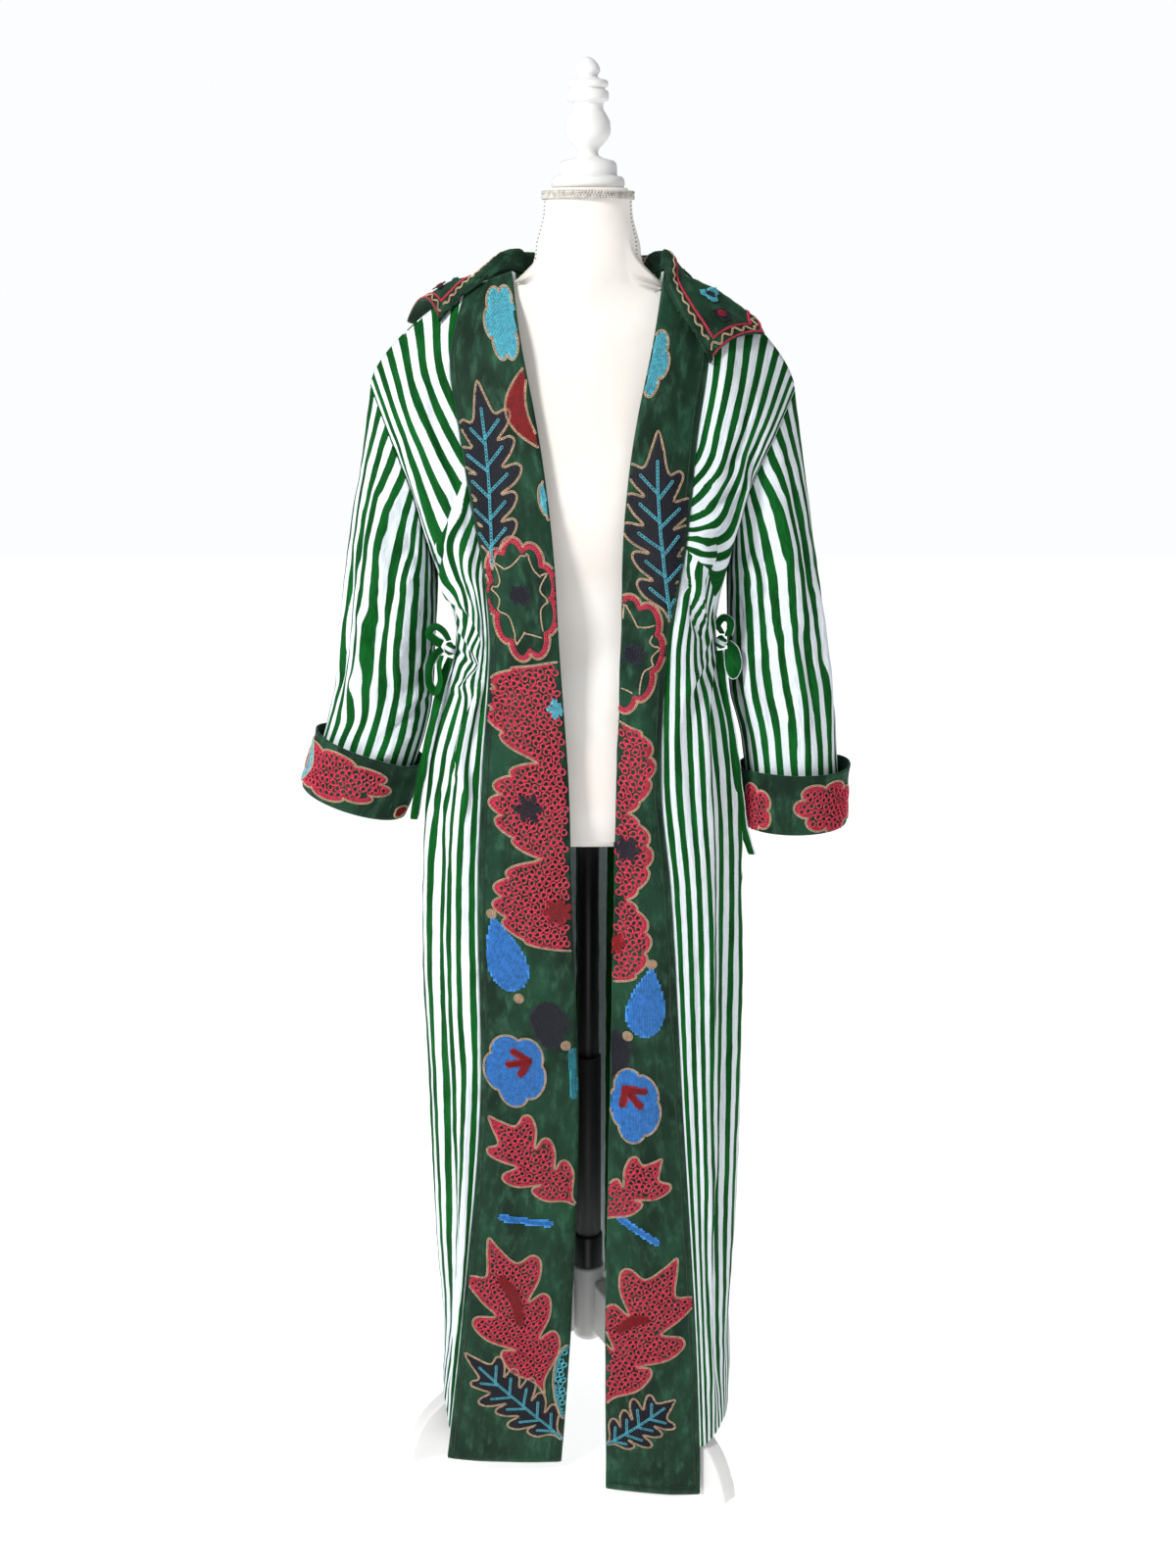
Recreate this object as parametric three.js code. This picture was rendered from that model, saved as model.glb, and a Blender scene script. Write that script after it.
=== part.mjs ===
// Long open duster coat on a dress form with a turned wooden stand.
// Millimetres, +Z up, the front of the coat faces -Y. The wearer's right side is at -X.
import * as THREE from 'three';

// ---------------------------------------------------------------- driving dimensions
const COTTON = 2; // wall of the striped cotton, two layers sewn together
const VELVET = 2.4; // wall of the lined velvet bands
const COLLAR_WALL = 2.6; // wall of the lined velvet collar
const SEAM = 0.7; // open gap that stands for a sewn seam
const ARM_SEAM = 0.6; // the same at the armhole, where the walls meet at an angle
const LOW_ROWS = 16; // rows of the body from the hem to the underarm
const HIGH_ROWS = 9; // rows of the body from the underarm to the shoulder seam
const BAND_COLS = 4; // columns across a front band
const FRONT_COLS = 8; // columns across a striped front
const NECK_COLS = 4; // columns across half of the back neck
const SLEEVE_ROWS = 13; // rings along a sleeve
const CUFF_RISE = 66; // height of a turned-back cuff
const CUFF_LOW = 10; // height of the cuff's inner layer, where the sleeve ends
const COLLAR_COLS = 30; // columns along the collar
const LIE = 1.5; // height of the collar's edges over the cloth they lie on
const COLLAR_LOFT = 2.4; // height of the collar's fall over the coat between its edges
const FORM_SIDES = 32; // corners of a section of the form
const FORM_CLEAR = 0.5; // room between the cloth's inside and the form's shoulder points
const NECK_TOP = 1438; // top of the form's neck
const FORM_BOTTOM = 767; // flat underside of the form
const FINIAL_TOP = 1564; // top of the turned cap
const POLE_TOP_RADIUS = 12;
const POLE_LOW_RADIUS = 15;
const POLE_STEP = 487; // height where the pole grows thicker
const RING_TOP = 262; // top of the clamp ring
const RING_RADIUS = 17;
const HUB_TOP = 222;
const HUB_BOTTOM = 122;
const HUB_RADIUS = 19;
const LEG_REACH = 222; // from the pole's axis to the tip of a foot
const LEG_WIDTH = 22;
const TIE_WIDTH = 9;
const TIE_WALL = 1.6;
const KNOT_RADIUS = 7.5;
const TOUCH = 0.3; // gap between hard pieces that meet

// ---------------------------------------------------------------- tables
const table = (columns, ...rows) => rows.map(
  (row) => Object.fromEntries(columns.map((name, i) => [name, row[i]])),
);

// Level 0 is the striped hem, 1 the underarm and 2 the shoulder seam. The bands reach lower.
const BAND_HEM = -0.06;
// edge: the front edge. seam: where band and striped front meet. side: the side seam, higher up
// the armhole. bow: how far the band's middle stands out.
const FRONT_COLUMNS = [
  'level', 'edgeX', 'edgeY', 'edgeZ', 'seamX', 'seamY', 'seamZ', 'sideX', 'sideY', 'sideZ', 'bow',
];
const FRONT_RIGHT = table(FRONT_COLUMNS,
  [BAND_HEM, 31, -92, 14, 164, -96, 22, 172, 12, 20, 4],
  [0.00, 27, -95, 66, 159, -98, 62, 173, 10, 62, 5],
  [0.16, 18, -107, 222, 141, -106, 222, 168, 5, 222, 6],
  [0.45, 10, -118, 480, 118, -110, 480, 177, 0, 480, 7],
  [0.68, 17, -124, 720, 117, -112, 720, 182, 0, 720, 7],
  [0.80, 20, -126, 845, 111, -110, 845, 172, 0, 845, 7],
  [0.93, 29, -126, 985, 101, -107, 985, 141, -8, 985, 7],
  [1.00, 33, -124, 1062, 106, -107, 1058, 160, 0, 1045, 7],
  [1.25, 40, -117, 1135, 118, -98, 1125, 170, -43, 1090, 6],
  [1.50, 51, -101, 1208, 129, -80, 1192, 182, -54, 1137, 5],
  [1.75, 68, -66, 1292, 140, -54, 1272, 204, -45, 1192, 5],
  [2.00, 78, -6, 1357, 126, -2, 1341, 227, 0, 1240, 0],
);
const FRONT_LEFT = table(FRONT_COLUMNS,
  [BAND_HEM, 20, -136, 10, 128, -143, 7, 166, 12, 20, 4],
  [0.00, 20, -136, 66, 127, -142, 68, 168, 10, 64, 5],
  [0.16, 19, -133, 222, 120, -135, 222, 163, 5, 222, 7],
  [0.45, 23, -124, 480, 103, -128, 480, 168, 0, 480, 10],
  [0.68, 27, -112, 720, 88, -124, 720, 170, 0, 720, 14],
  [0.80, 29, -106, 845, 76, -120, 845, 162, 0, 845, 15],
  [0.93, 33, -106, 985, 82, -114, 985, 137, -8, 985, 13],
  [1.00, 34, -110, 1062, 95, -110, 1058, 148, 0, 1050, 11],
  [1.25, 38, -110, 1135, 104, -100, 1125, 156, -43, 1096, 9],
  [1.50, 48, -100, 1208, 110, -87, 1192, 168, -54, 1142, 6],
  [1.75, 66, -66, 1292, 122, -60, 1272, 192, -45, 1192, 5],
  [2.00, 78, -6, 1357, 126, -2, 1341, 216, 0, 1236, 0],
);
const BACK_COLUMNS = ['level', 'y', 'z', 'armY'];
const BACK = table(BACK_COLUMNS,
  [BAND_HEM, 150, 20, 0],
  [0.00, 150, 62, 0],
  [0.16, 150, 222, 0],
  [0.45, 148, 480, 0],
  [0.68, 138, 720, 0],
  [0.80, 120, 845, 0],
  [0.93, 99, 985, 0],
  [1.00, 108, 1062, 0],
  [1.25, 106, 1138, 44],
  [1.50, 100, 1210, 56],
  [1.75, 84, 1288, 46],
  [2.00, 56, 1342, 0],
);

// Folds of the body. across runs from 0 at the band's seam to 1 at the side on a front,
// and from -1 at the right side to 1 at the left side on the back. A positive depth stands out.
const FOLD_COLUMNS = ['panel', 'highLevel', 'highAcross', 'lowLevel', 'lowAcross', 'width', 'depth'];
const FOLDS = table(FOLD_COLUMNS,
  ['right', 1.75, 0.42, 0.98, 0.16, 0.13, 4.5],
  ['right', 1.60, 0.75, 0.97, 0.42, 0.14, 5.5],
  ['right', 1.30, 0.20, 0.96, 0.06, 0.10, 3.5],
  ['right', 0.92, 0.20, 0.50, 0.24, 0.12, 6],
  ['right', 0.90, 0.62, 0.16, 0.58, 0.15, 7],
  ['right', 0.78, 0.42, 0.10, 0.38, 0.10, -5],
  ['right', 0.45, 0.16, 0.04, 0.10, 0.11, 4],
  ['left', 1.70, 0.35, 1.00, 0.22, 0.13, 4],
  ['left', 1.50, 0.72, 0.99, 0.55, 0.15, 6],
  ['left', 1.12, 0.20, 0.94, 0.16, 0.12, 5],
  ['left', 0.90, 0.30, 0.30, 0.24, 0.13, 4],
  ['left', 0.92, 0.66, 0.12, 0.62, 0.13, 6],
  ['left', 0.74, 0.47, 0.08, 0.43, 0.10, -4.5],
  ['left', 0.50, 0.85, 0.03, 0.84, 0.10, 4.5],
  ['back', 0.92, -0.80, 0.02, -0.82, 0.075, 7],
  ['back', 0.93, -0.52, 0.01, -0.60, 0.070, 10],
  ['back', 0.93, -0.26, 0.02, -0.33, 0.075, 9],
  ['back', 0.93, -0.02, 0.01, 0.02, 0.080, 11],
  ['back', 0.93, 0.24, 0.02, 0.31, 0.070, 8],
  ['back', 0.93, 0.50, 0.01, 0.57, 0.075, 10],
  ['back', 0.92, 0.77, 0.02, 0.80, 0.070, 7],
  ['back', 1.55, -0.42, 0.97, -0.38, 0.09, 5],
  ['back', 1.62, 0.05, 0.97, 0.10, 0.10, 4],
  ['back', 1.50, 0.52, 0.97, 0.46, 0.09, 5.5],
);

// Sleeves: outer and inner points of each ring seen from the front, its middle and half depth.
const SLEEVE_COLUMNS = ['along', 'outerX', 'outerZ', 'innerX', 'innerZ', 'midY', 'halfDepth'];
const SLEEVE_RIGHT = table(SLEEVE_COLUMNS,
  [0.00, 227, 1240, 160, 1045, 0, 55],
  [0.18, 238, 1168, 162, 1008, -2, 56],
  [0.40, 252, 1072, 165, 968, -6, 54],
  [0.62, 263, 990, 167, 925, -10, 51],
  [0.84, 277, 908, 176, 876, -14, 49],
  [1.00, 303, 822, 205, 790, -16, 48],
);
const SLEEVE_LEFT = table(SLEEVE_COLUMNS,
  [0.00, 216, 1236, 148, 1050, 0, 55],
  [0.18, 227, 1164, 149, 1010, -4, 56],
  [0.40, 241, 1072, 150, 968, -12, 54],
  [0.62, 254, 988, 153, 920, -20, 51],
  [0.84, 266, 898, 166, 868, -26, 49],
  [1.00, 275, 786, 176, 784, -28, 48],
);
// Folds of a sleeve: turn is the place round the ring in degrees, 0 outside and 90 in front.
const SLEEVE_FOLD_COLUMNS = ['side', 'turnHigh', 'alongHigh', 'turnLow', 'alongLow', 'width', 'depth'];
const SLEEVE_FOLDS = table(SLEEVE_FOLD_COLUMNS,
  ['right', 55, 0.12, 70, 0.80, 20, 4.5],
  ['right', 125, 0.16, 100, 0.62, 22, 5],
  ['right', 150, 0.55, 60, 0.88, 22, -4],
  ['right', 235, 0.10, 250, 0.85, 24, 4],
  ['right', 320, 0.20, 300, 0.80, 24, 4.5],
  ['left', 60, 0.10, 80, 0.85, 20, 4.5],
  ['left', 120, 0.14, 118, 0.86, 20, 5.5],
  ['left', 95, 0.40, 100, 0.90, 16, -3.5],
  ['left', 225, 0.12, 245, 0.85, 24, 4],
  ['left', 310, 0.20, 300, 0.80, 24, 4.5],
);

// The form's sections: half width, depth in front and depth behind.
const FORM_COLUMNS = ['z', 'half', 'front', 'back', 'square'];
const FORM = table(FORM_COLUMNS,
  [FORM_BOTTOM, 146, 96, 92, 2.2],
  [800, 152, 102, 98, 2.2],
  [860, 155, 102, 98, 2.2],
  [930, 138, 94, 88, 2.2],
  [990, 120, 86, 80, 2.2],
  [1050, 126, 92, 84, 2.2],
  [1120, 138, 102, 88, 2.2],
  [1180, 148, 95, 88, 2.2],
  [1235, 160, 78, 70, 2.0],
  [1275, 170, 58, 52, 1.7],
  [1304, 162, 44, 40, 1.4],
  [1326, 132, 40, 29, 1.2],
  [1344, 80.6, 40, 28, 1.3],
  [1362, 58, 41, 42, 1.9],
  [1385, 53, 42, 44, 2],
  [1410, 46, 42, 43, 2],
  [1430, 44, 42, 42, 2],
  [NECK_TOP, 40, 38, 38, 2],
);

// Legs of the stand: direction in degrees from +X, and how far the hem rides up over the leg.
const LEGS = table(['turn', 'hemLift'],
  [197, 30],
  [317, 8],
  [77, 42],
);
// The turned cap: radius and height over the neck's top.
const CAP = table(['radius', 'up'],
  [36.5, 0],
  [37, 7],
  [35, 11],
  [29.5, 12],
  [29.5, 22],
  [27, 26],
  [16, 29],
  [10, 33],
  [11, 38],
  [19, 47],
  [23, 56],
  [21.5, 66],
  [16, 74],
  [15.5, 82],
  [20.5, 84],
  [20.5, 93],
  [17, 94.5],
  [17, 96],
  [20, 97.5],
  [20, 103],
  [12, 105],
  [9, 107],
  [12.4, 112],
  [9, 119],
  [3, 124.5],
);
// A leg seen from its side: reach from the pole's axis and height, from the hub down to the foot.
const LEG_TOP = table(['reach', 'z'],
  [HUB_RADIUS + TOUCH, 206],
  [60, 178],
  [110, 124],
  [150, 91],
  [176, 77],
  [203, 53],
  [218, 22],
  [LEG_REACH, 5],
);
const LEG_UNDER = table(['reach', 'z'],
  [LEG_REACH - 4, 0],
  [174, 0],
  [169, 32],
  [152, 56],
  [110, 84],
  [60, 118],
  [HUB_RADIUS + TOUCH, 140],
);

// The collar from its right front end round the neck to its left one: inner is its neck seam,
// outer its free edge, and fold the height of its fold over the neck seam.
const COLLAR_COLUMNS = ['along', 'innerX', 'innerY', 'innerZ', 'outerX', 'outerY', 'outerZ', 'fold'];
const COLLAR = table(COLLAR_COLUMNS,
  [-1.00, -150, -22, 1303, -190, 40, 1304, 3],
  [-0.80, -128, -12, 1330, -172, 64, 1297, 5],
  [-0.60, -106, -6, 1347, -148, 82, 1290, 10],
  [-0.42, -84, 8, 1358, -114, 92, 1288, 18],
  [-0.22, -50, 40, 1352, -62, 100, 1284, 26],
  [0.00, 0, 57, 1345, 0, 102, 1281, 30],
  [0.22, 50, 40, 1352, 64, 100, 1284, 26],
  [0.42, 80, -4, 1358, 120, 88, 1289, 18],
  [0.60, 82, -28, 1336, 152, 58, 1300, 10],
  [0.80, 98, -48, 1300, 170, 18, 1309, 5],
  [1.00, 119, -60, 1265, 181, -14, 1293, 3],
);
// Rows across the collar: share of the stand's height, then share of the way down the fall.
const COLLAR_ROWS = table(['stand', 'fall'],
  [0, 0],
  [0.55, 0],
  [1, 0.04],
  [1, 0.22],
  [1, 0.48],
  [1, 0.74],
  [1, 1],
);

// Ties: the knots sit on the gathered waist, and the straps' points are measured from their knot.
const KNOTS = {
  right: [-146, -60, 976],
  left: [140, -66, 982],
};
const STRAP_COLUMNS = ['x', 'y', 'z'];
const STRAPS = {
  tie_right_loop: table(STRAP_COLUMNS,
    [-1, 0, 8.9], [-7, -2, 19], [-15, -4, 24], [-21, -4, 17], [-14, -2, 9], [-8, 0, 5.2],
  ),
  tie_right_bow: table(STRAP_COLUMNS,
    [-8, -2, 0], [-15, -7, -6], [-21, -11, -18], [-21, -14, -34],
    [-15, -15, -43], [-10, -14, -33], [-11, -11, -16], [-9, -6, -6.5],
  ),
  tie_right_tail: table(STRAP_COLUMNS,
    [1, -2, -9.6], [-9, -8, -40], [-22, -10, -92], [-33, -6, -140], [-42, -2, -186],
  ),
  tie_left_loop: table(STRAP_COLUMNS,
    [1, 0, 9.4], [-4, -3, 19], [2, -6, 27], [10, -4, 21], [7.6, 0, 6.5],
  ),
  tie_left_bow: table(STRAP_COLUMNS,
    [7.3, 0, 0], [15, -3, -8], [18, -6, -24], [13, -8, -34], [8.5, -7, -24], [7.6, -2, -7],
  ),
  tie_left_tail: table(STRAP_COLUMNS,
    [-1, 0, -9], [4, -3, -52], [14, -5, -105], [22, -2, -160], [29, 8, -206], [40, 24, -240],
  ),
};

// ---------------------------------------------------------------- small tools
const smooth = (x) => {
  const t = Math.min(1, Math.max(0, x));
  return t * t * (3 - 2 * t);
};

// A smooth curve through one column of a table.
function read(rows, key, column, at) {
  let i = 0;
  while (i < rows.length - 2 && at > rows[i + 1][key]) i += 1;
  const [a, b] = [rows[i], rows[i + 1]];
  const span = b[key] - a[key];
  const before = rows[i - 1] ?? a;
  const after = rows[i + 2] ?? b;
  const slopeA = (b[column] - before[column]) / (b[key] - before[key]);
  const slopeB = (after[column] - a[column]) / (after[key] - a[key]);
  const t = Math.min(1, Math.max(0, (at - a[key]) / span));
  const [t2, t3] = [t * t, t * t * t];
  return (2 * t3 - 3 * t2 + 1) * a[column] + (t3 - 2 * t2 + t) * span * slopeA
    + (3 * t2 - 2 * t3) * b[column] + (t3 - t2) * span * slopeB;
}

const LEVELS = [BAND_HEM]; // the bands alone have the first row
for (let i = 0; i < LOW_ROWS; i += 1) LEVELS.push(i / LOW_ROWS);
for (let i = 0; i <= HIGH_ROWS; i += 1) LEVELS.push(1 + i / HIGH_ROWS);

// Normals of a grid of points, by the neighbours of each. They point out of the coat.
function gridNormals(grid, closed, sign) {
  const columns = grid[0].length;
  return grid.map((row, r) => row.map((_, c) => {
    const left = closed ? (c + columns - 1) % columns : Math.max(0, c - 1);
    const right = closed ? (c + 1) % columns : Math.min(columns - 1, c + 1);
    const low = grid[Math.max(0, r - 1)][c];
    const high = grid[Math.min(grid.length - 1, r + 1)][c];
    const across = row[right].clone().sub(row[left]);
    const up = high.clone().sub(low);
    return across.cross(up).normalize().multiplyScalar(sign);
  }));
}

// A closed cloth wall: the given points are its outside, the inside lies a wall's width behind.
function clothWall(grid, normals, wall, closed) {
  const rows = grid.length;
  const columns = grid[0].length;
  const behind = (p, normal) => p.clone().addScaledVector(normal, -wall);
  const inner = grid.map((row, r) => row.map((p, c) => behind(p, normals[r][c])));
  const points = [...grid.flat(), ...inner.flat()];
  const shift = rows * columns;
  const at = (r, c) => r * columns + (c % columns);
  const faces = [];
  const quad = (a, b, c, d) => faces.push([a, b, c], [a, c, d]);
  const lastColumn = closed ? columns : columns - 1;
  for (let r = 0; r < rows - 1; r += 1) {
    for (let c = 0; c < lastColumn; c += 1) {
      quad(at(r, c), at(r, c + 1), at(r + 1, c + 1), at(r + 1, c));
      quad(shift + at(r, c), shift + at(r + 1, c), shift + at(r + 1, c + 1), shift + at(r, c + 1));
    }
  }
  for (let c = 0; c < lastColumn; c += 1) {
    quad(at(0, c + 1), at(0, c), shift + at(0, c), shift + at(0, c + 1));
    quad(at(rows - 1, c), at(rows - 1, c + 1), shift + at(rows - 1, c + 1), shift + at(rows - 1, c));
  }
  if (!closed) {
    for (let r = 0; r < rows - 1; r += 1) {
      quad(at(r, 0), at(r + 1, 0), shift + at(r + 1, 0), shift + at(r, 0));
      const [low, high] = [at(r, columns - 1), at(r + 1, columns - 1)];
      quad(high, low, shift + low, shift + high);
    }
  }
  return solid(points, faces);
}

// A geometry from points and triangles, turned so that its faces point out.
function solid(points, faces) {
  let volume = 0;
  for (const [a, b, c] of faces) volume += points[a].dot(points[b].clone().cross(points[c]));
  const turned = volume > 0 ? faces : faces.map(([a, b, c]) => [a, c, b]);
  const geometry = new THREE.BufferGeometry();
  const numbers = points.flatMap((p) => p.toArray());
  geometry.setAttribute('position', new THREE.Float32BufferAttribute(numbers, 3));
  geometry.setIndex(turned.flat());
  geometry.computeVertexNormals();
  return geometry;
}

// ---------------------------------------------------------------- the coat's body
const FRONTS = {
  right: { rows: FRONT_RIGHT, sign: -1 },
  left: { rows: FRONT_LEFT, sign: 1 },
};

function corner(side, name, level) {
  const { rows, sign } = FRONTS[side];
  return new THREE.Vector3(
    sign * read(rows, 'level', `${name}X`, level),
    read(rows, 'level', `${name}Y`, level),
    read(rows, 'level', `${name}Z`, level),
  );
}

// A quarter turn of a section, from its flat middle to its side. Its height falls partly round,
// partly straight, as a shoulder does.
const STRAIGHT_FALL = 0.55;
function quarter(from, to, across) {
  const turn = across * Math.PI / 2;
  const fall = (1 - STRAIGHT_FALL) * (1 - Math.cos(turn)) + STRAIGHT_FALL * Math.sin(turn);
  return new THREE.Vector3(
    from.x + (to.x - from.x) * Math.sin(turn),
    to.y + (from.y - to.y) * Math.cos(turn),
    from.z + (to.z - from.z) * fall,
  );
}

// The striped hem rides up where a leg of the stand comes out under it.
const LIFT_TURN = 13; // half the stretch that is lifted, in degrees round the pole
const LIFT_FLAT = 0.6; // share of that stretch over which the lift is whole
const LIFT_LEVEL = 0.12; // level at which the lift has died away
const LIFT_ACROSS = 0.3; // share of a front from the band's seam over which the lift fades in
function liftOverLegs(point, level, share = 1) {
  if (level > LIFT_LEVEL) return point;
  const turn = THREE.MathUtils.radToDeg(Math.atan2(point.y, point.x));
  let lift = 0;
  for (const leg of LEGS) {
    const away = Math.abs(((turn - leg.turn + 540) % 360) - 180);
    lift = Math.max(lift, leg.hemLift * smooth(1 + LIFT_FLAT - away / LIFT_TURN));
  }
  point.z += lift * share * (1 - level / LIFT_LEVEL);
  return point;
}

function bandPoint(side, level, across) {
  const edge = corner(side, 'edge', level);
  const seam = corner(side, 'seam', level);
  const point = edge.lerp(seam, across);
  point.y -= read(FRONTS[side].rows, 'level', 'bow', level) * 4 * across * (1 - across);
  return point;
}

function frontPoint(side, level, across) {
  const point = quarter(corner(side, 'seam', level), corner(side, 'side', level), across);
  return liftOverLegs(point, level, smooth(across / LIFT_ACROSS));
}

// Half of the back, by columns: the neck, then what lies behind the band, then the striped front.
const HALF_BACK = NECK_COLS + BAND_COLS + FRONT_COLS;
function backPoint(side, level, column) {
  const across = column / HALF_BACK;
  const middle = new THREE.Vector3(0, read(BACK, 'level', 'y', level), read(BACK, 'level', 'z', level));
  const arm = corner(side, 'side', level);
  if (level > 1) arm.y = read(BACK, 'level', 'armY', level);
  const point = liftOverLegs(quarter(middle, arm, across), level);
  if (level <= 1) return point;
  return point.lerp(shoulderLine(side, column), smooth((level - 1) ** 2));
}

function shoulderLine(side, column) {
  if (column > NECK_COLS + BAND_COLS) {
    return frontPoint(side, 2, (column - NECK_COLS - BAND_COLS) / FRONT_COLS);
  }
  if (column >= NECK_COLS) return bandPoint(side, 2, (column - NECK_COLS) / BAND_COLS);
  const middle = new THREE.Vector3(0, read(BACK, 'level', 'y', 2), read(BACK, 'level', 'z', 2));
  return quarter(middle, corner(side, 'edge', 2), column / NECK_COLS);
}

const FOLD_END = 0.12; // share of a fold's length over which it runs out past each end
function foldDepth(panel, level, across) {
  let depth = 0;
  for (const fold of FOLDS) {
    if (fold.panel !== panel) continue;
    const run = (level - fold.lowLevel) / (fold.highLevel - fold.lowLevel);
    if (run < -FOLD_END || run > 1 + FOLD_END) continue;
    const centre = fold.lowAcross + (fold.highAcross - fold.lowAcross) * run;
    const reach = smooth((run + FOLD_END) / (2 * FOLD_END)) * smooth((1 + FOLD_END - run) / (2 * FOLD_END));
    depth += fold.depth * reach * Math.exp(-(((across - centre) / fold.width) ** 2));
  }
  return depth;
}

// One row of the whole coat, from the right front edge round the back to the left front edge.
// kind and across say which panel a column belongs to; a column on a seam belongs to both.
function coatRow(level) {
  const row = [];
  const add = (panel, across, point) => row.push({ panel, across, point });
  for (let c = 0; c <= BAND_COLS; c += 1) add('band', 0, bandPoint('right', level, c / BAND_COLS));
  for (let c = 1; c <= FRONT_COLS; c += 1) {
    add('right', c / FRONT_COLS, frontPoint('right', level, c / FRONT_COLS));
  }
  for (let c = HALF_BACK; c >= 0; c -= 1) add('back', -c / HALF_BACK, backPoint('right', level, c));
  for (let c = 1; c <= HALF_BACK; c += 1) add('back', c / HALF_BACK, backPoint('left', level, c));
  for (let c = FRONT_COLS; c >= 1; c -= 1) {
    add('left', c / FRONT_COLS, frontPoint('left', level, c / FRONT_COLS));
  }
  for (let c = BAND_COLS; c >= 0; c -= 1) add('band', 0, bandPoint('left', level, c / BAND_COLS));
  return row;
}

const RIGHT_SIDE = BAND_COLS + FRONT_COLS; // last column of the right front
const LEFT_SIDE = RIGHT_SIDE + 2 * HALF_BACK + 2; // first column of the left front, at its side
const LAST = LEFT_SIDE + RIGHT_SIDE;

// Normals that two panels share at the side seams below the arm and along the shoulder seams.
function shareNormals(normals) {
  const merge = (a, b) => {
    a.add(b).normalize();
    b.copy(a);
  };
  LEVELS.forEach((level, r) => {
    if (level <= 1) {
      merge(normals[r][RIGHT_SIDE], normals[r][RIGHT_SIDE + 1]);
      merge(normals[r][LEFT_SIDE - 1], normals[r][LEFT_SIDE]);
    }
  });
  const top = normals[LEVELS.length - 1];
  for (let c = 0; c <= RIGHT_SIDE; c += 1) {
    merge(top[c], top[RIGHT_SIDE + 1 + (RIGHT_SIDE - c)]);
    merge(top[LAST - c], top[LEFT_SIDE - 1 - (RIGHT_SIDE - c)]);
  }
}

// Normals by panel, so that the open armholes and the shoulder seams keep their own edges.
function coatNormals(grid) {
  const cut = (from, to) => gridNormals(grid.map((row) => row.slice(from, to)), false, -1);
  const parts = [cut(0, RIGHT_SIDE + 1), cut(RIGHT_SIDE + 1, LEFT_SIDE), cut(LEFT_SIDE, LAST + 1)];
  const normals = grid.map((_, r) => parts.flatMap((part) => part[r]));
  shareNormals(normals);
  return normals;
}

// Folds die away towards the seams: shares of a back half, of a front, and levels under the shoulder.
const BACK_FADE = 0.08;
const FRONT_FADE = 0.12;
const TOP_FADE = 0.15;
function coatGrid() {
  const rows = LEVELS.map((level) => coatRow(level));
  const plain = rows.map((row) => row.map((cell) => cell.point));
  const normals = coatNormals(plain);
  return rows.map((row, r) => row.map((cell, c) => {
    const seamFade = cell.panel === 'back' ? smooth((1 - Math.abs(cell.across)) / BACK_FADE)
      : smooth(cell.across / FRONT_FADE) * smooth((1 - cell.across) / FRONT_FADE);
    const topFade = smooth((2 - LEVELS[r]) / TOP_FADE);
    const depth = foldDepth(cell.panel, LEVELS[r], cell.across) * seamFade * topFade;
    return cell.point.clone().addScaledVector(normals[r][c], depth);
  }));
}

const COAT = coatGrid();
const COAT_NORMALS = coatNormals(COAT);

// A panel of the coat. Its sewn edges are drawn back by half a seam.
function panel(from, to, wall, sewn, firstRow = 1) {
  const grid = COAT.slice(firstRow).map((row) => row.slice(from, to + 1).map((p) => p.clone()));
  const normals = COAT_NORMALS.slice(firstRow).map((row) => row.slice(from, to + 1));
  const plain = grid.map((row) => row.map((p) => p.clone()));
  const width = to - from;
  const top = grid.length - 1;
  const pull = (r, c, r2, c2) => {
    grid[r][c].addScaledVector(plain[r2][c2].clone().sub(plain[r][c]).normalize(), SEAM / 2);
  };
  for (let r = 0; r <= top; r += 1) {
    if (sewn.includes('first')) pull(r, 0, r, 1);
    if (sewn.includes('last')) pull(r, width, r, width - 1);
  }
  for (let c = 0; c <= width; c += 1) pull(top, c, top - 1, c);
  return clothWall(grid, normals, wall, false);
}

// The place on the coat nearest to a point, with the way out of the cloth there.
const TRIANGLES = [];
const FITTED_LEVEL = 0.7; // nothing lies on the coat below this level
const FITTED_FROM = LEVELS.findIndex((level) => level > FITTED_LEVEL);
for (let r = FITTED_FROM; r < COAT.length - 1; r += 1) {
  for (let c = 0; c < LAST; c += 1) {
    if (c === RIGHT_SIDE || c === LEFT_SIDE - 1) continue;
    const [a, b, d, e] = [COAT[r][c], COAT[r][c + 1], COAT[r + 1][c + 1], COAT[r + 1][c]];
    TRIANGLES.push(new THREE.Triangle(a, d, b), new THREE.Triangle(a, e, d));
  }
}
function nearestCloth(point) {
  let best = { distance: Infinity };
  const found = new THREE.Vector3();
  for (const triangle of TRIANGLES) {
    triangle.closestPointToPoint(point, found);
    const distance = found.distanceTo(point);
    if (distance < best.distance) best = { distance, place: found.clone(), triangle };
  }
  const out = best.triangle.getNormal(new THREE.Vector3());
  const side = point.clone().sub(best.place).dot(out);
  return { place: best.place, out, height: side < 0 ? -best.distance : best.distance };
}

// Moves a point out of the cloth until it is at least the given height over it.
function clearOf(point, height) {
  const near = nearestCloth(point);
  if (near.height >= height) return point;
  return near.place.addScaledVector(near.out, height);
}

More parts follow.
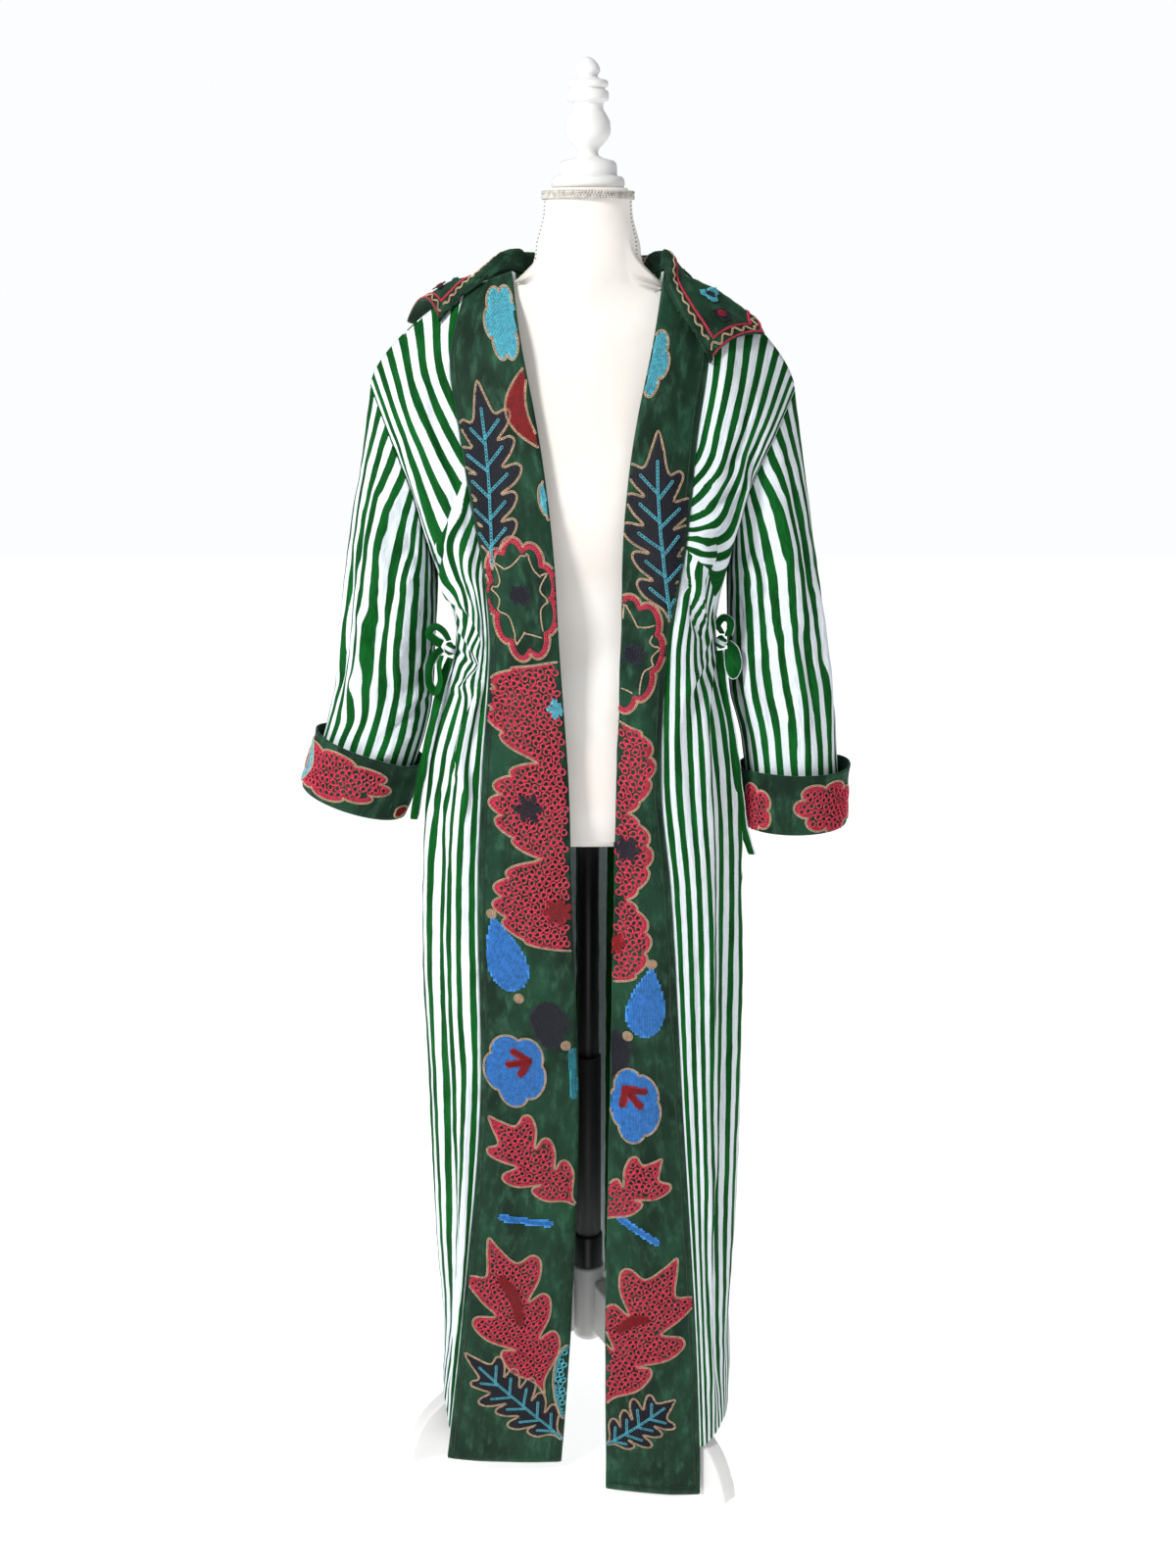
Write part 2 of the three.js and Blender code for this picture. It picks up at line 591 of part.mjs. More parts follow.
// Moves the corners of a grid until its edges keep a height too: over the cloth
// for way 1, under it for way -1.
const PASSES = 8;
const SHARES = [0.15, 0.3, 0.5, 0.7, 0.85]; // where an edge is tested
const REACH_OVER = 4; // an edge this much further off than three heights is past the cloth's border
function keepEdges(grid, height, way, chosen) {
  const middle = new THREE.Vector3();
  for (let pass = 0; pass < PASSES; pass += 1) {
    grid.forEach((row, r) => row.forEach((point, c) => {
      const others = [row[c + 1], grid[r + 1]?.[c], grid[r + 1]?.[c + 1], grid[r + 1]?.[c - 1]];
      for (const other of others) {
        if (!other || !chosen(point) || !chosen(other)) continue;
        for (const share of SHARES) {
          const near = nearestCloth(middle.copy(point).lerp(other, share));
          const lack = height - way * near.height;
          if (lack <= 0 || Math.abs(near.height) > 3 * height + REACH_OVER) continue;
          point.addScaledVector(near.out, way * lack);
          other.addScaledVector(near.out, way * lack);
        }
      }
    }));
  }
}

// ---------------------------------------------------------------- sleeves and cuffs
const RING = 2 * HIGH_ROWS;

// An armhole from the shoulder tip down the front and up the back: its points, the way out of the
// cloth there, and the way on past the panel's edge.
function armhole(side) {
  const [front, back] = side === 'right' ? [RIGHT_SIDE, RIGHT_SIDE + 1] : [LEFT_SIDE, LEFT_SIDE - 1];
  const top = LEVELS.length - 1;
  const ring = [];
  for (let i = 0; i < HIGH_ROWS; i += 1) ring.push([top - i, front, front - back]);
  for (let i = 0; i < HIGH_ROWS; i += 1) ring.push([top - HIGH_ROWS + i, back, back - front]);
  return ring.map(([r, c, step]) => ({
    point: COAT[r][c],
    normal: COAT_NORMALS[r][c],
    past: COAT[r][c].clone().sub(COAT[r][c + step]).normalize(),
  }));
}

const SLEEVES = {
  right: { rows: SLEEVE_RIGHT, sign: -1 },
  left: { rows: SLEEVE_LEFT, sign: 1 },
};

function sleeveFrame(side, along) {
  const { rows, sign } = SLEEVES[side];
  const get = (name) => read(rows, 'along', name, along);
  const outer = new THREE.Vector3(sign * get('outerX'), 0, get('outerZ'));
  const inner = new THREE.Vector3(sign * get('innerX'), 0, get('innerZ'));
  const middle = outer.clone().add(inner).multiplyScalar(0.5);
  middle.y = get('midY');
  const half = outer.sub(inner).multiplyScalar(0.5);
  const down = new THREE.Vector3(-sign * half.z, 0, sign * half.x).normalize();
  if (down.z > 0) down.negate();
  return { middle, half, down, depth: get('halfDepth') };
}

function ringPoint(frame, turn, grow = 0) {
  const length = frame.half.length();
  return frame.middle.clone()
    .addScaledVector(frame.half, Math.cos(turn) * (length + grow) / length)
    .add(new THREE.Vector3(0, -Math.sin(turn) * (frame.depth + grow), 0));
}

const SLEEVE_FOLD_END = 0.1; // share of a fold's length over which it runs out past each end
const CUFF_FADE = 0.22; // share of the sleeve over which its folds die away above the cuff
function sleeveFold(side, along, turn) {
  let depth = 0;
  const degrees = THREE.MathUtils.radToDeg(turn);
  for (const fold of SLEEVE_FOLDS) {
    if (fold.side !== side) continue;
    const run = (along - fold.alongHigh) / (fold.alongLow - fold.alongHigh);
    const centre = fold.turnHigh + (fold.turnLow - fold.turnHigh) * run;
    const away = (((degrees - centre + 540) % 360) - 180) / fold.width;
    const start = smooth((run + SLEEVE_FOLD_END) / (2 * SLEEVE_FOLD_END));
    const end = smooth((1 + SLEEVE_FOLD_END - run) / (2 * SLEEVE_FOLD_END));
    depth += fold.depth * start * end * Math.exp(-away * away);
  }
  return depth * smooth((1 - along) / CUFF_FADE);
}

const HEAD_FADE = 0.4; // share of the sleeve over which the armhole's own shape fades out
const UNDERARM_GAP = 0.9; // room between sleeve and body where the sleeve hangs beside it
const FLUSH_FROM = -0.1; // cosine between sleeve and panel where the sleeve starts to carry the panel on
const FLUSH_TO = 0.7; // and where it does so wholly
function sleeve(side) {
  const hole = armhole(side);
  const start = sleeveFrame(side, 0);
  const grid = [];
  for (let r = 0; r <= SLEEVE_ROWS; r += 1) {
    const along = r / SLEEVE_ROWS;
    const frame = sleeveFrame(side, along);
    const keep = Math.max(0, 1 - along / HEAD_FADE) ** 2;
    grid.push(hole.map(({ point }, k) => {
      const turn = k / RING * Math.PI * 2;
      const own = point.clone().sub(ringPoint(start, turn));
      return ringPoint(frame, turn, sleeveFold(side, along, turn)).addScaledVector(own, keep);
    }));
  }
  const normals = gridNormals(grid, true, side === 'right' ? -1 : 1);
  const end = sleeveFrame(side, 1);
  hole.forEach(({ normal, past }, k) => {
    const turn = k / RING * Math.PI * 2;
    const flush = smooth((normals[0][k].dot(normal) - FLUSH_FROM) / (FLUSH_TO - FLUSH_FROM));
    grid[0][k].addScaledVector(past, ARM_SEAM);
    grid[0][k].addScaledVector(normal, UNDERARM_GAP * (1 - flush));
    normals[0][k].lerp(normal, flush).normalize();
    normals[SLEEVE_ROWS][k].copy(ringPoint(end, turn, 1)).sub(ringPoint(end, turn)).normalize();
  });
  return clothWall(grid, normals, COTTON, true);
}

// A cuff is turned back over the sleeve: inner layer, fold at the bottom, outer layer.
// Its profile gives the way out from the sleeve's outside and the height over the fold.
const CUFF_PROFILE = table(['out', 'up'],
  [0, CUFF_LOW - SEAM],
  [0, 3],
  [1.2, 0.6],
  [4, -0.4],
  [6.6, 0.8],
  [7.6, 4],
  [8.2, 22],
  [8.6, 44],
  [9.4, CUFF_RISE],
);
function cuff(side) {
  const end = sleeveFrame(side, 1);
  const rings = [];
  const inside = [];
  CUFF_PROFILE.forEach((row, i) => {
    const before = CUFF_PROFILE[Math.max(0, i - 1)];
    const after = CUFF_PROFILE[Math.min(CUFF_PROFILE.length - 1, i + 1)];
    const way = new THREE.Vector2(after.out - before.out, after.up - before.up).normalize();
    const layer = (share) => Array.from({ length: RING }, (_, k) => {
      const out = row.out + way.y * VELVET * share;
      const up = row.up - way.x * VELVET * share;
      return ringPoint(end, k / RING * Math.PI * 2, out).addScaledVector(end.down, CUFF_LOW - up);
    });
    rings.push(layer(0));
    inside.push(layer(-1));
  });
  const normals = rings.map((ring, r) => ring.map((p, k) => p.clone().sub(inside[r][k]).divideScalar(VELVET)));
  return clothWall(rings, normals, VELVET, true);
}

// ---------------------------------------------------------------- collar and ties
// The points are the collar's hidden side; its wall lies outside them, so that the fold stays open.
const FOLD_ROUND = 1.5; // least width of the fold's rounding
const FOLD_WIDTH = 0.12; // more of it for each millimetre of the fold's height
const FALL_PEAK = 0.45; // where along the fall it stands out most
const FALL_ROUND = 4; // least bulge of the fall
const FALL_BULGE = 0.25; // more of it for each millimetre of the fold's height
function collar() {
  const hidden = COLLAR_ROWS.map(() => []);
  for (let c = 0; c <= COLLAR_COLS; c += 1) {
    const along = -1 + 2 * c / COLLAR_COLS;
    const get = (name) => read(COLLAR, 'along', name, along);
    const seam = clearOf(new THREE.Vector3(get('innerX'), get('innerY'), get('innerZ')), LIE);
    const edge = clearOf(new THREE.Vector3(get('outerX'), get('outerY'), get('outerZ')), LIE);
    const top = seam.clone().add(new THREE.Vector3(0, 0, get('fold')));
    const outwards = edge.clone().sub(seam).setZ(0).normalize();
    top.addScaledVector(outwards, FOLD_ROUND + FOLD_WIDTH * get('fold'));
    const mid = top.clone().lerp(edge, FALL_PEAK);
    mid.z += FALL_ROUND + FALL_BULGE * get('fold');
    const fall = new THREE.QuadraticBezierCurve3(top, mid, edge);
    COLLAR_ROWS.forEach((row, r) => {
      const point = row.fall > 0 ? fall.getPoint(row.fall) : seam.clone().lerp(top, row.stand);
      hidden[r].push(row.fall > 0 && row.fall < 1 ? clearOf(point, COLLAR_LOFT) : point);
    });
  }
  keepEdges(hidden, LIE, 1, () => true);
  const normals = gridNormals(hidden, false, 1);
  const facing = normals[COLLAR_ROWS.length - 1][COLLAR_COLS / 2].y > 0 ? 1 : -1;
  normals.forEach((row) => row.forEach((normal) => normal.multiplyScalar(facing)));
  const shown = hidden.map((row, r) => row.map((p, c) => p.clone().addScaledVector(normals[r][c], COLLAR_WALL)));
  return clothWall(shown, normals, COLLAR_WALL, false);
}

// Where a knot sits: just off the cloth nearest to its rough place.
function knotPlace(side) {
  const near = nearestCloth(new THREE.Vector3(...KNOTS[side]));
  return near.place.addScaledVector(near.out, KNOT_RADIUS);
}

// A loop's width runs away from the cloth, a tail's width lies flat before it.
const STRAP_STEPS = 14;
function strap(name, rows) {
  const start = knotPlace(name.includes('right') ? 'right' : 'left');
  const points = rows.map((row) => new THREE.Vector3(row.x, row.y, row.z).add(start));
  const path = new THREE.CatmullRomCurve3(points);
  const wide = name.endsWith('tail') ? new THREE.Vector3(1, 0, 0) : new THREE.Vector3(0, 1, 0);
  const grid = [];
  for (let i = 0; i <= STRAP_STEPS; i += 1) {
    const at = path.getPointAt(i / STRAP_STEPS);
    const way = path.getTangentAt(i / STRAP_STEPS);
    const across = wide.clone().addScaledVector(way, -way.dot(wide)).normalize();
    grid.push([-0.5, 0.5].map((share) => at.clone().addScaledVector(across, share * TIE_WIDTH)));
  }
  return clothWall(grid, gridNormals(grid, false, 1), TIE_WALL, false);
}

const KNOT_SHAPE = [0.9, 0.9, 1.1]; // a knot is a little longer than wide
function knot(side) {
  const ball = new THREE.IcosahedronGeometry(KNOT_RADIUS, 1);
  ball.scale(...KNOT_SHAPE);
  ball.translate(...knotPlace(side).toArray());
  return ball;
}

// ---------------------------------------------------------------- the form and its stand
const SHOULDER_FROM = 60; // the coat lies on the form's shoulders past this distance from the middle
const SHOULDER_LOW = 1200; // and above this height
const NECK_FROM = 1361; // up to here
function insideCoat(point) {
  const near = nearestCloth(point);
  const most = -(VELVET + FORM_CLEAR);
  if (near.height <= most) return point;
  return near.place.addScaledVector(near.out, most);
}

function onShoulder(point) {
  return Math.abs(point.x) > SHOULDER_FROM && point.z > SHOULDER_LOW && point.z < NECK_FROM;
}

function formTorso() {
  const rings = FORM.map((row) => Array.from({ length: FORM_SIDES }, (_, k) => {
    const turn = k / FORM_SIDES * Math.PI * 2;
    const round = (value) => Math.sign(value) * Math.abs(value) ** (2 / row.square);
    const depth = Math.sin(turn) < 0 ? row.front : row.back;
    const point = new THREE.Vector3(row.half * round(Math.cos(turn)), depth * round(Math.sin(turn)), row.z);
    return onShoulder(point) ? insideCoat(point) : point;
  }));
  keepEdges(rings, VELVET + FORM_CLEAR, -1, onShoulder);
  const points = rings.flat();
  const bottom = points.push(new THREE.Vector3(0, 0, FORM_BOTTOM)) - 1;
  const top = points.push(new THREE.Vector3(0, 0, NECK_TOP)) - 1;
  const faces = [];
  for (let k = 0; k < FORM_SIDES; k += 1) {
    const next = (k + 1) % FORM_SIDES;
    for (let r = 0; r < FORM.length - 1; r += 1) {
      const [low, high] = [r * FORM_SIDES, (r + 1) * FORM_SIDES];
      faces.push([low + k, low + next, high + next], [low + k, high + next, high + k]);
    }
    faces.push([bottom, next, k]);
    faces.push([top, (FORM.length - 1) * FORM_SIDES + k, (FORM.length - 1) * FORM_SIDES + next]);
  }
  return solid(points, faces);
}

// A turned piece: its profile starts and ends on the axis.
const TURNED_SIDES = 20;
function turned(profile) {
  const geometry = new THREE.LatheGeometry(profile, TURNED_SIDES);
  geometry.rotateX(Math.PI / 2);
  return geometry;
}

function cap() {
  const base = NECK_TOP + TOUCH;
  const profile = CAP.map((row) => new THREE.Vector2(row.radius, base + row.up));
  return turned([new THREE.Vector2(0, base), ...profile, new THREE.Vector2(0, FINIAL_TOP)]);
}

function rod(radius, low, high) {
  const geometry = new THREE.CylinderGeometry(radius, radius, high - low, TURNED_SIDES);
  geometry.rotateX(Math.PI / 2);
  geometry.translate(0, 0, (low + high) / 2);
  return geometry;
}

const HUB_ROUND = 14; // height of the hub's rounded underside
const HUB_ROUND_STEPS = 4;
function hub() {
  const profile = [new THREE.Vector2(0, HUB_BOTTOM)];
  for (let i = 1; i <= HUB_ROUND_STEPS; i += 1) {
    const turn = i / HUB_ROUND_STEPS * Math.PI / 2;
    const z = HUB_BOTTOM + HUB_ROUND * (1 - Math.cos(turn));
    profile.push(new THREE.Vector2(HUB_RADIUS * Math.sin(turn), z));
  }
  profile.push(new THREE.Vector2(HUB_RADIUS, HUB_TOP - TOUCH), new THREE.Vector2(0, HUB_TOP - TOUCH));
  return turned(profile);
}

const LEG_STEPS = 5; // points between two of a leg's table rows
function leg() {
  const outline = new THREE.Shape();
  const along = (rows) => rows.map((row) => new THREE.Vector2(row.reach, row.z));
  outline.moveTo(LEG_TOP[0].reach, LEG_TOP[0].z);
  outline.splineThru(along(LEG_TOP.slice(1)));
  outline.lineTo(LEG_UNDER[0].reach, LEG_UNDER[0].z);
  outline.lineTo(LEG_UNDER[1].reach, LEG_UNDER[1].z);
  outline.splineThru(along(LEG_UNDER.slice(2)));
  const settings = { depth: LEG_WIDTH, bevelEnabled: false, curveSegments: LEG_STEPS };
  const geometry = new THREE.ExtrudeGeometry(outline, settings);
  geometry.rotateX(Math.PI / 2);
  geometry.translate(0, LEG_WIDTH / 2, 0);
  return geometry;
}

// ---------------------------------------------------------------- build
const group = new THREE.Group();
function add(name, geometry, color, roughness = 0.9, metalness = 0) {
  const material = new THREE.MeshStandardMaterial({ color, roughness, metalness });
  const mesh = new THREE.Mesh(geometry, material);
  mesh.name = name;
  group.add(mesh);
  return mesh;
}

const STRIPED = 0x8fb39b;
const GREEN_VELVET = 0x12402a;
const CANVAS = 0xf0eeea;
const WHITE_PAINT = 0xf7f7f5;
const BLACK_PAINT = 0x101012;
add('band_right', panel(0, BAND_COLS, VELVET, ['last'], 0), GREEN_VELVET);
add('front_right', panel(BAND_COLS, RIGHT_SIDE, COTTON, ['first', 'last']), STRIPED);
add('back', panel(RIGHT_SIDE + 1, LEFT_SIDE - 1, COTTON, ['first', 'last']), STRIPED);
add('front_left', panel(LEFT_SIDE, LEFT_SIDE + FRONT_COLS, COTTON, ['first', 'last']), STRIPED);
add('band_left', panel(LEFT_SIDE + FRONT_COLS, LAST, VELVET, ['first'], 0), GREEN_VELVET);
add('collar', collar(), GREEN_VELVET);
for (const side of ['right', 'left']) {
  add(`sleeve_${side}`, sleeve(side), STRIPED);
  add(`cuff_${side}`, cuff(side), GREEN_VELVET);
  add(`tie_${side}_knot`, knot(side), STRIPED);
}
for (const [name, rows] of Object.entries(STRAPS)) add(name, strap(name, rows), STRIPED);
add('form_torso', formTorso(), CANVAS, 0.8);
add('form_cap', cap(), WHITE_PAINT, 0.35);
add('pole_upper', rod(POLE_TOP_RADIUS, POLE_STEP + TOUCH, FORM_BOTTOM - TOUCH), BLACK_PAINT, 0.4);
add('pole_lower', rod(POLE_LOW_RADIUS, RING_TOP + TOUCH, POLE_STEP), BLACK_PAINT, 0.4);
add('clamp_ring', rod(RING_RADIUS, HUB_TOP, RING_TOP), BLACK_PAINT, 0.4);
add('hub', hub(), WHITE_PAINT, 0.35);
LEGS.forEach((row, i) => {
  const mesh = add(`leg_${i + 1}`, leg(), WHITE_PAINT, 0.35);
  mesh.rotation.z = THREE.MathUtils.degToRad(row.turn);
});

// The part stands on the origin, with its box centred over it.
group.updateMatrixWorld(true);
const box = new THREE.Box3().setFromObject(group, true);
group.position.set(-(box.min.x + box.max.x) / 2, -(box.min.y + box.max.y) / 2, -box.min.z);

export default group;
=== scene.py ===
import bpy
import bmesh
import math
import numpy as np
from mathutils import Matrix, Vector
from mathutils.bvhtree import BVHTree


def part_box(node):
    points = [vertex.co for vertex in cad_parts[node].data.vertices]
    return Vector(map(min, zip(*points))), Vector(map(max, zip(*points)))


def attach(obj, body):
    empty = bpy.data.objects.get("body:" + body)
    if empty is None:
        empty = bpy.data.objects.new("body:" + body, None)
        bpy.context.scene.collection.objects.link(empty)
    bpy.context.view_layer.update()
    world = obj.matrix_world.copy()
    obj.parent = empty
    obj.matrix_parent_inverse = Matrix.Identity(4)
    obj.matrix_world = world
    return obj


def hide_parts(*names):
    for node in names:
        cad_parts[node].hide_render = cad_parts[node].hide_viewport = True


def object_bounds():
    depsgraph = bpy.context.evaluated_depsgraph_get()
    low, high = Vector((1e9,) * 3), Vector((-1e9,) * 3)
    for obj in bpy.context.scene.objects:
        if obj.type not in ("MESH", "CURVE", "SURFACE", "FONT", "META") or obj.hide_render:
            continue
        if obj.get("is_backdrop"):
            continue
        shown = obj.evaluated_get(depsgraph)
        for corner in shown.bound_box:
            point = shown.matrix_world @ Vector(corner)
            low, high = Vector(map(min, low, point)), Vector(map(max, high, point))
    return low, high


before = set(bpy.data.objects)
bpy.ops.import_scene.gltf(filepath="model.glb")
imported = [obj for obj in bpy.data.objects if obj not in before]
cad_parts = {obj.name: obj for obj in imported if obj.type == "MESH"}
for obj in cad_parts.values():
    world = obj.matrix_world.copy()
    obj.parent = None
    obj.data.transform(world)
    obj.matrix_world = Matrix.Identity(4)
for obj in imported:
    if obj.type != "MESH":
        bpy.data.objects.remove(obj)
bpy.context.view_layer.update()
low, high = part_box("pole_upper")
POLE = np.array([(low.x + high.x) / 2, (low.y + high.y) / 2, 0.0])
MM = 0.001  # metres in a millimetre
SIDES = ("right", "left")  # the wearer's

# ---- the coat's cut
COTTON, VELVET, COLLAR_WALL = 1.8, 2.2, 2.4  # walls of the cloths
BAND_COLS, FRONT_COLS, NECK_COLS = 4, 8, 4
HALF_BACK = NECK_COLS + BAND_COLS + FRONT_COLS
SIDE = BAND_COLS + FRONT_COLS
BAND_HEM = -0.06
STRIPE = 19.0  # one green and one white stripe


def table(columns, *rows):
    made = {name: np.array([row[i] for row in rows]) for i, name in enumerate(columns)}
    made["key"] = made[columns[0]]
    return made


FRONT_COLUMNS = ["level", *(line + axis for line in ("edge", "seam", "side") for axis in "XYZ"), "bow"]
FRONT_RIGHT = table(
    FRONT_COLUMNS,
    [BAND_HEM, 31, -92, 14, 164, -96, 22, 172, 12, 20, 4],
    [0.00, 27, -95, 66, 159, -98, 62, 173, 10, 62, 5],
    [0.16, 18, -107, 222, 141, -106, 222, 168, 5, 222, 6],
    [0.45, 10, -118, 480, 118, -110, 480, 177, 0, 480, 7],
    [0.68, 17, -124, 720, 117, -112, 720, 182, 0, 720, 7],
    [0.80, 20, -126, 845, 111, -110, 845, 172, 0, 845, 7],
    [0.93, 29, -126, 985, 101, -107, 985, 141, -8, 985, 7],
    [1.00, 33, -124, 1062, 106, -107, 1058, 160, 0, 1045, 7],
    [1.25, 40, -117, 1135, 118, -98, 1125, 170, -43, 1090, 6],
    [1.50, 51, -101, 1208, 129, -80, 1192, 182, -54, 1137, 5],
    [1.75, 68, -66, 1292, 140, -54, 1272, 204, -45, 1192, 5],
    [2.00, 78, -6, 1357, 126, -2, 1341, 227, 0, 1240, 0],
)
FRONT_LEFT = table(
    FRONT_COLUMNS,
    [BAND_HEM, 20, -136, 10, 128, -143, 7, 166, 12, 20, 4],
    [0.00, 20, -136, 66, 127, -142, 68, 168, 10, 64, 5],
    [0.16, 19, -133, 222, 120, -135, 222, 163, 5, 222, 7],
    [0.45, 23, -124, 480, 103, -128, 480, 168, 0, 480, 10],
    [0.68, 27, -112, 720, 88, -124, 720, 170, 0, 720, 14],
    [0.80, 29, -106, 845, 76, -120, 845, 162, 0, 845, 15],
    [0.93, 33, -106, 985, 82, -114, 985, 137, -8, 985, 13],
    [1.00, 34, -110, 1062, 95, -110, 1058, 148, 0, 1050, 11],
    [1.25, 38, -110, 1135, 104, -100, 1125, 156, -43, 1096, 9],
    [1.50, 48, -100, 1208, 110, -87, 1192, 168, -54, 1142, 6],
    [1.75, 66, -66, 1292, 122, -60, 1272, 192, -45, 1192, 5],
    [2.00, 78, -6, 1357, 126, -2, 1341, 216, 0, 1236, 0],
)
BACK = table(
    ["level", "y", "z", "armY"],
    [BAND_HEM, 150, 20, 0],
    [0.00, 150, 62, 0],
    [0.16, 150, 222, 0],
    [0.45, 148, 480, 0],
    [0.68, 138, 720, 0],
    [0.80, 120, 845, 0],
    [0.93, 99, 985, 0],
    [1.00, 108, 1062, 0],
    [1.25, 106, 1138, 44],
    [1.50, 100, 1210, 56],
    [1.75, 84, 1288, 46],
    [2.00, 56, 1342, 0],
)
# Large folds: panel, upper level and place across, lower level and place across, width, depth.
FOLDS = [
    ["right", 1.75, 0.42, 0.98, 0.16, 0.13, 4.5],
    ["right", 1.60, 0.75, 0.97, 0.42, 0.14, 5.5],
    ["right", 1.30, 0.20, 0.96, 0.06, 0.10, 3.5],
    ["right", 0.92, 0.20, 0.50, 0.24, 0.12, 6],
    ["right", 0.90, 0.62, 0.16, 0.58, 0.15, 7],
    ["right", 0.78, 0.42, 0.10, 0.38, 0.10, -5],
    ["right", 0.45, 0.16, 0.04, 0.10, 0.11, 4],
    ["left", 1.70, 0.35, 1.00, 0.22, 0.13, 4],
    ["left", 1.50, 0.72, 0.99, 0.55, 0.15, 6],
    ["left", 1.12, 0.20, 0.94, 0.16, 0.12, 5],
    ["left", 0.90, 0.30, 0.30, 0.24, 0.13, 4],
    ["left", 0.92, 0.66, 0.12, 0.62, 0.13, 6],
    ["left", 0.74, 0.47, 0.08, 0.43, 0.10, -4.5],
    ["left", 0.50, 0.85, 0.03, 0.84, 0.10, 4.5],
    ["back", 0.92, -0.80, 0.02, -0.82, 0.075, 7],
    ["back", 0.93, -0.52, 0.01, -0.60, 0.070, 10],
    ["back", 0.93, -0.26, 0.02, -0.33, 0.075, 9],
    ["back", 0.93, -0.02, 0.01, 0.02, 0.080, 11],
    ["back", 0.93, 0.24, 0.02, 0.31, 0.070, 8],
    ["back", 0.93, 0.50, 0.01, 0.57, 0.075, 10],
    ["back", 0.92, 0.77, 0.02, 0.80, 0.070, 7],
    ["back", 1.55, -0.42, 0.97, -0.38, 0.09, 5],
    ["back", 1.62, 0.05, 0.97, 0.10, 0.10, 4],
    ["back", 1.50, 0.52, 0.97, 0.46, 0.09, 5.5],
]
SLEEVE_COLUMNS = ["along", "outerX", "outerZ", "innerX", "innerZ", "midY", "halfDepth"]
SLEEVE_RIGHT = table(
    SLEEVE_COLUMNS,
    [0.00, 227, 1240, 160, 1045, 0, 55],
    [0.18, 238, 1168, 162, 1008, -2, 56],
    [0.40, 252, 1072, 165, 968, -6, 54],
    [0.62, 263, 990, 167, 925, -10, 51],
    [0.84, 277, 908, 176, 876, -14, 49],
    [1.00, 303, 822, 205, 790, -16, 48],
)
SLEEVE_LEFT = table(
    SLEEVE_COLUMNS,
    [0.00, 216, 1236, 148, 1050, 0, 55],
    [0.18, 227, 1164, 149, 1010, -4, 56],
    [0.40, 241, 1072, 150, 968, -12, 54],
    [0.62, 254, 988, 153, 920, -20, 51],
    [0.84, 266, 898, 166, 868, -26, 49],
    [1.00, 275, 786, 176, 784, -28, 48],
)
# Sleeve folds: side, upper turn and place along, lower turn and place along, width, depth.
SLEEVE_FOLDS = [
    ["right", 55, 0.12, 70, 0.80, 20, 4.5],
    ["right", 125, 0.16, 100, 0.62, 22, 5],
    ["right", 150, 0.55, 60, 0.88, 22, -4],
    ["right", 235, 0.10, 250, 0.85, 24, 4],
    ["right", 320, 0.20, 300, 0.80, 24, 4.5],
    ["left", 60, 0.10, 80, 0.85, 20, 4.5],
    ["left", 120, 0.14, 118, 0.86, 20, 5.5],
    ["left", 95, 0.40, 100, 0.90, 16, -3.5],
    ["left", 225, 0.12, 245, 0.85, 24, 4],
    ["left", 310, 0.20, 300, 0.80, 24, 4.5],
]
LEG_LIFTS = [(197, 30), (317, 8), (77, 42)]
FRONTS = {"right": (FRONT_RIGHT, -1), "left": (FRONT_LEFT, 1)}
SLEEVES = {"right": (SLEEVE_RIGHT, -1), "left": (SLEEVE_LEFT, 1)}


# ---- smooth curves and surfaces
def smooth(x):
    t = np.clip(x, 0, 1)
    return t * t * (3 - 2 * t)


def read(rows, column, at):
    """A smooth curve through one column of a table."""
    at = np.asarray(at, float)
    keys, values = rows["key"], rows[column]
    i = np.searchsorted(keys[1:-1], at, side="left")
    before, after = np.maximum(i - 1, 0), np.minimum(i + 2, len(keys) - 1)
    span = keys[i + 1] - keys[i]
    slope_a = (values[i + 1] - values[before]) / (keys[i + 1] - keys[before])
    slope_b = (values[after] - values[i]) / (keys[after] - keys[i])
    t = np.clip((at - keys[i]) / span, 0, 1)
    t2, t3 = t * t, t * t * t
    return (
        (2 * t3 - 3 * t2 + 1) * values[i]
        + (t3 - 2 * t2 + t) * span * slope_a
        + (3 * t2 - 2 * t3) * values[i + 1]
        + (t3 - t2) * span * slope_b
    )


def unit(vectors):
    return vectors / np.maximum(np.linalg.norm(vectors, axis=-1, keepdims=True), 1e-12)


def mix(a, b, share):
    return a + (b - a) * np.asarray(share)[..., None]


def corner(side, name, level):
    rows, sign = FRONTS[side]
    x, y, z = (read(rows, name + axis, level) for axis in "XYZ")
    return np.stack([sign * x, y, z], -1)


def quarter(start, end, across):
    """A quarter turn of a section, from its flat middle to its side."""
    turn = np.asarray(across) * math.pi / 2
    fall = 0.45 * (1 - np.cos(turn)) + 0.55 * np.sin(turn)
    x = start[..., 0] + (end[..., 0] - start[..., 0]) * np.sin(turn)
    y = end[..., 1] + (start[..., 1] - end[..., 1]) * np.cos(turn)
    z = start[..., 2] + (end[..., 2] - start[..., 2]) * fall
    return np.stack([x, y, z], -1)


def lift_over_legs(point, level, share):
    """The striped hem rides up where a leg of the stand comes out under it."""
    turn = np.degrees(np.arctan2(point[..., 1], point[..., 0]))
    lift = np.zeros(turn.shape)
    for leg, height in LEG_LIFTS:
        away = np.abs((turn - leg + 540) % 360 - 180)
        lift = np.maximum(lift, height * smooth(1.6 - away / 13))
    point[..., 2] += lift * share * np.clip(1 - level / 0.12, 0, 1.5)
    return point


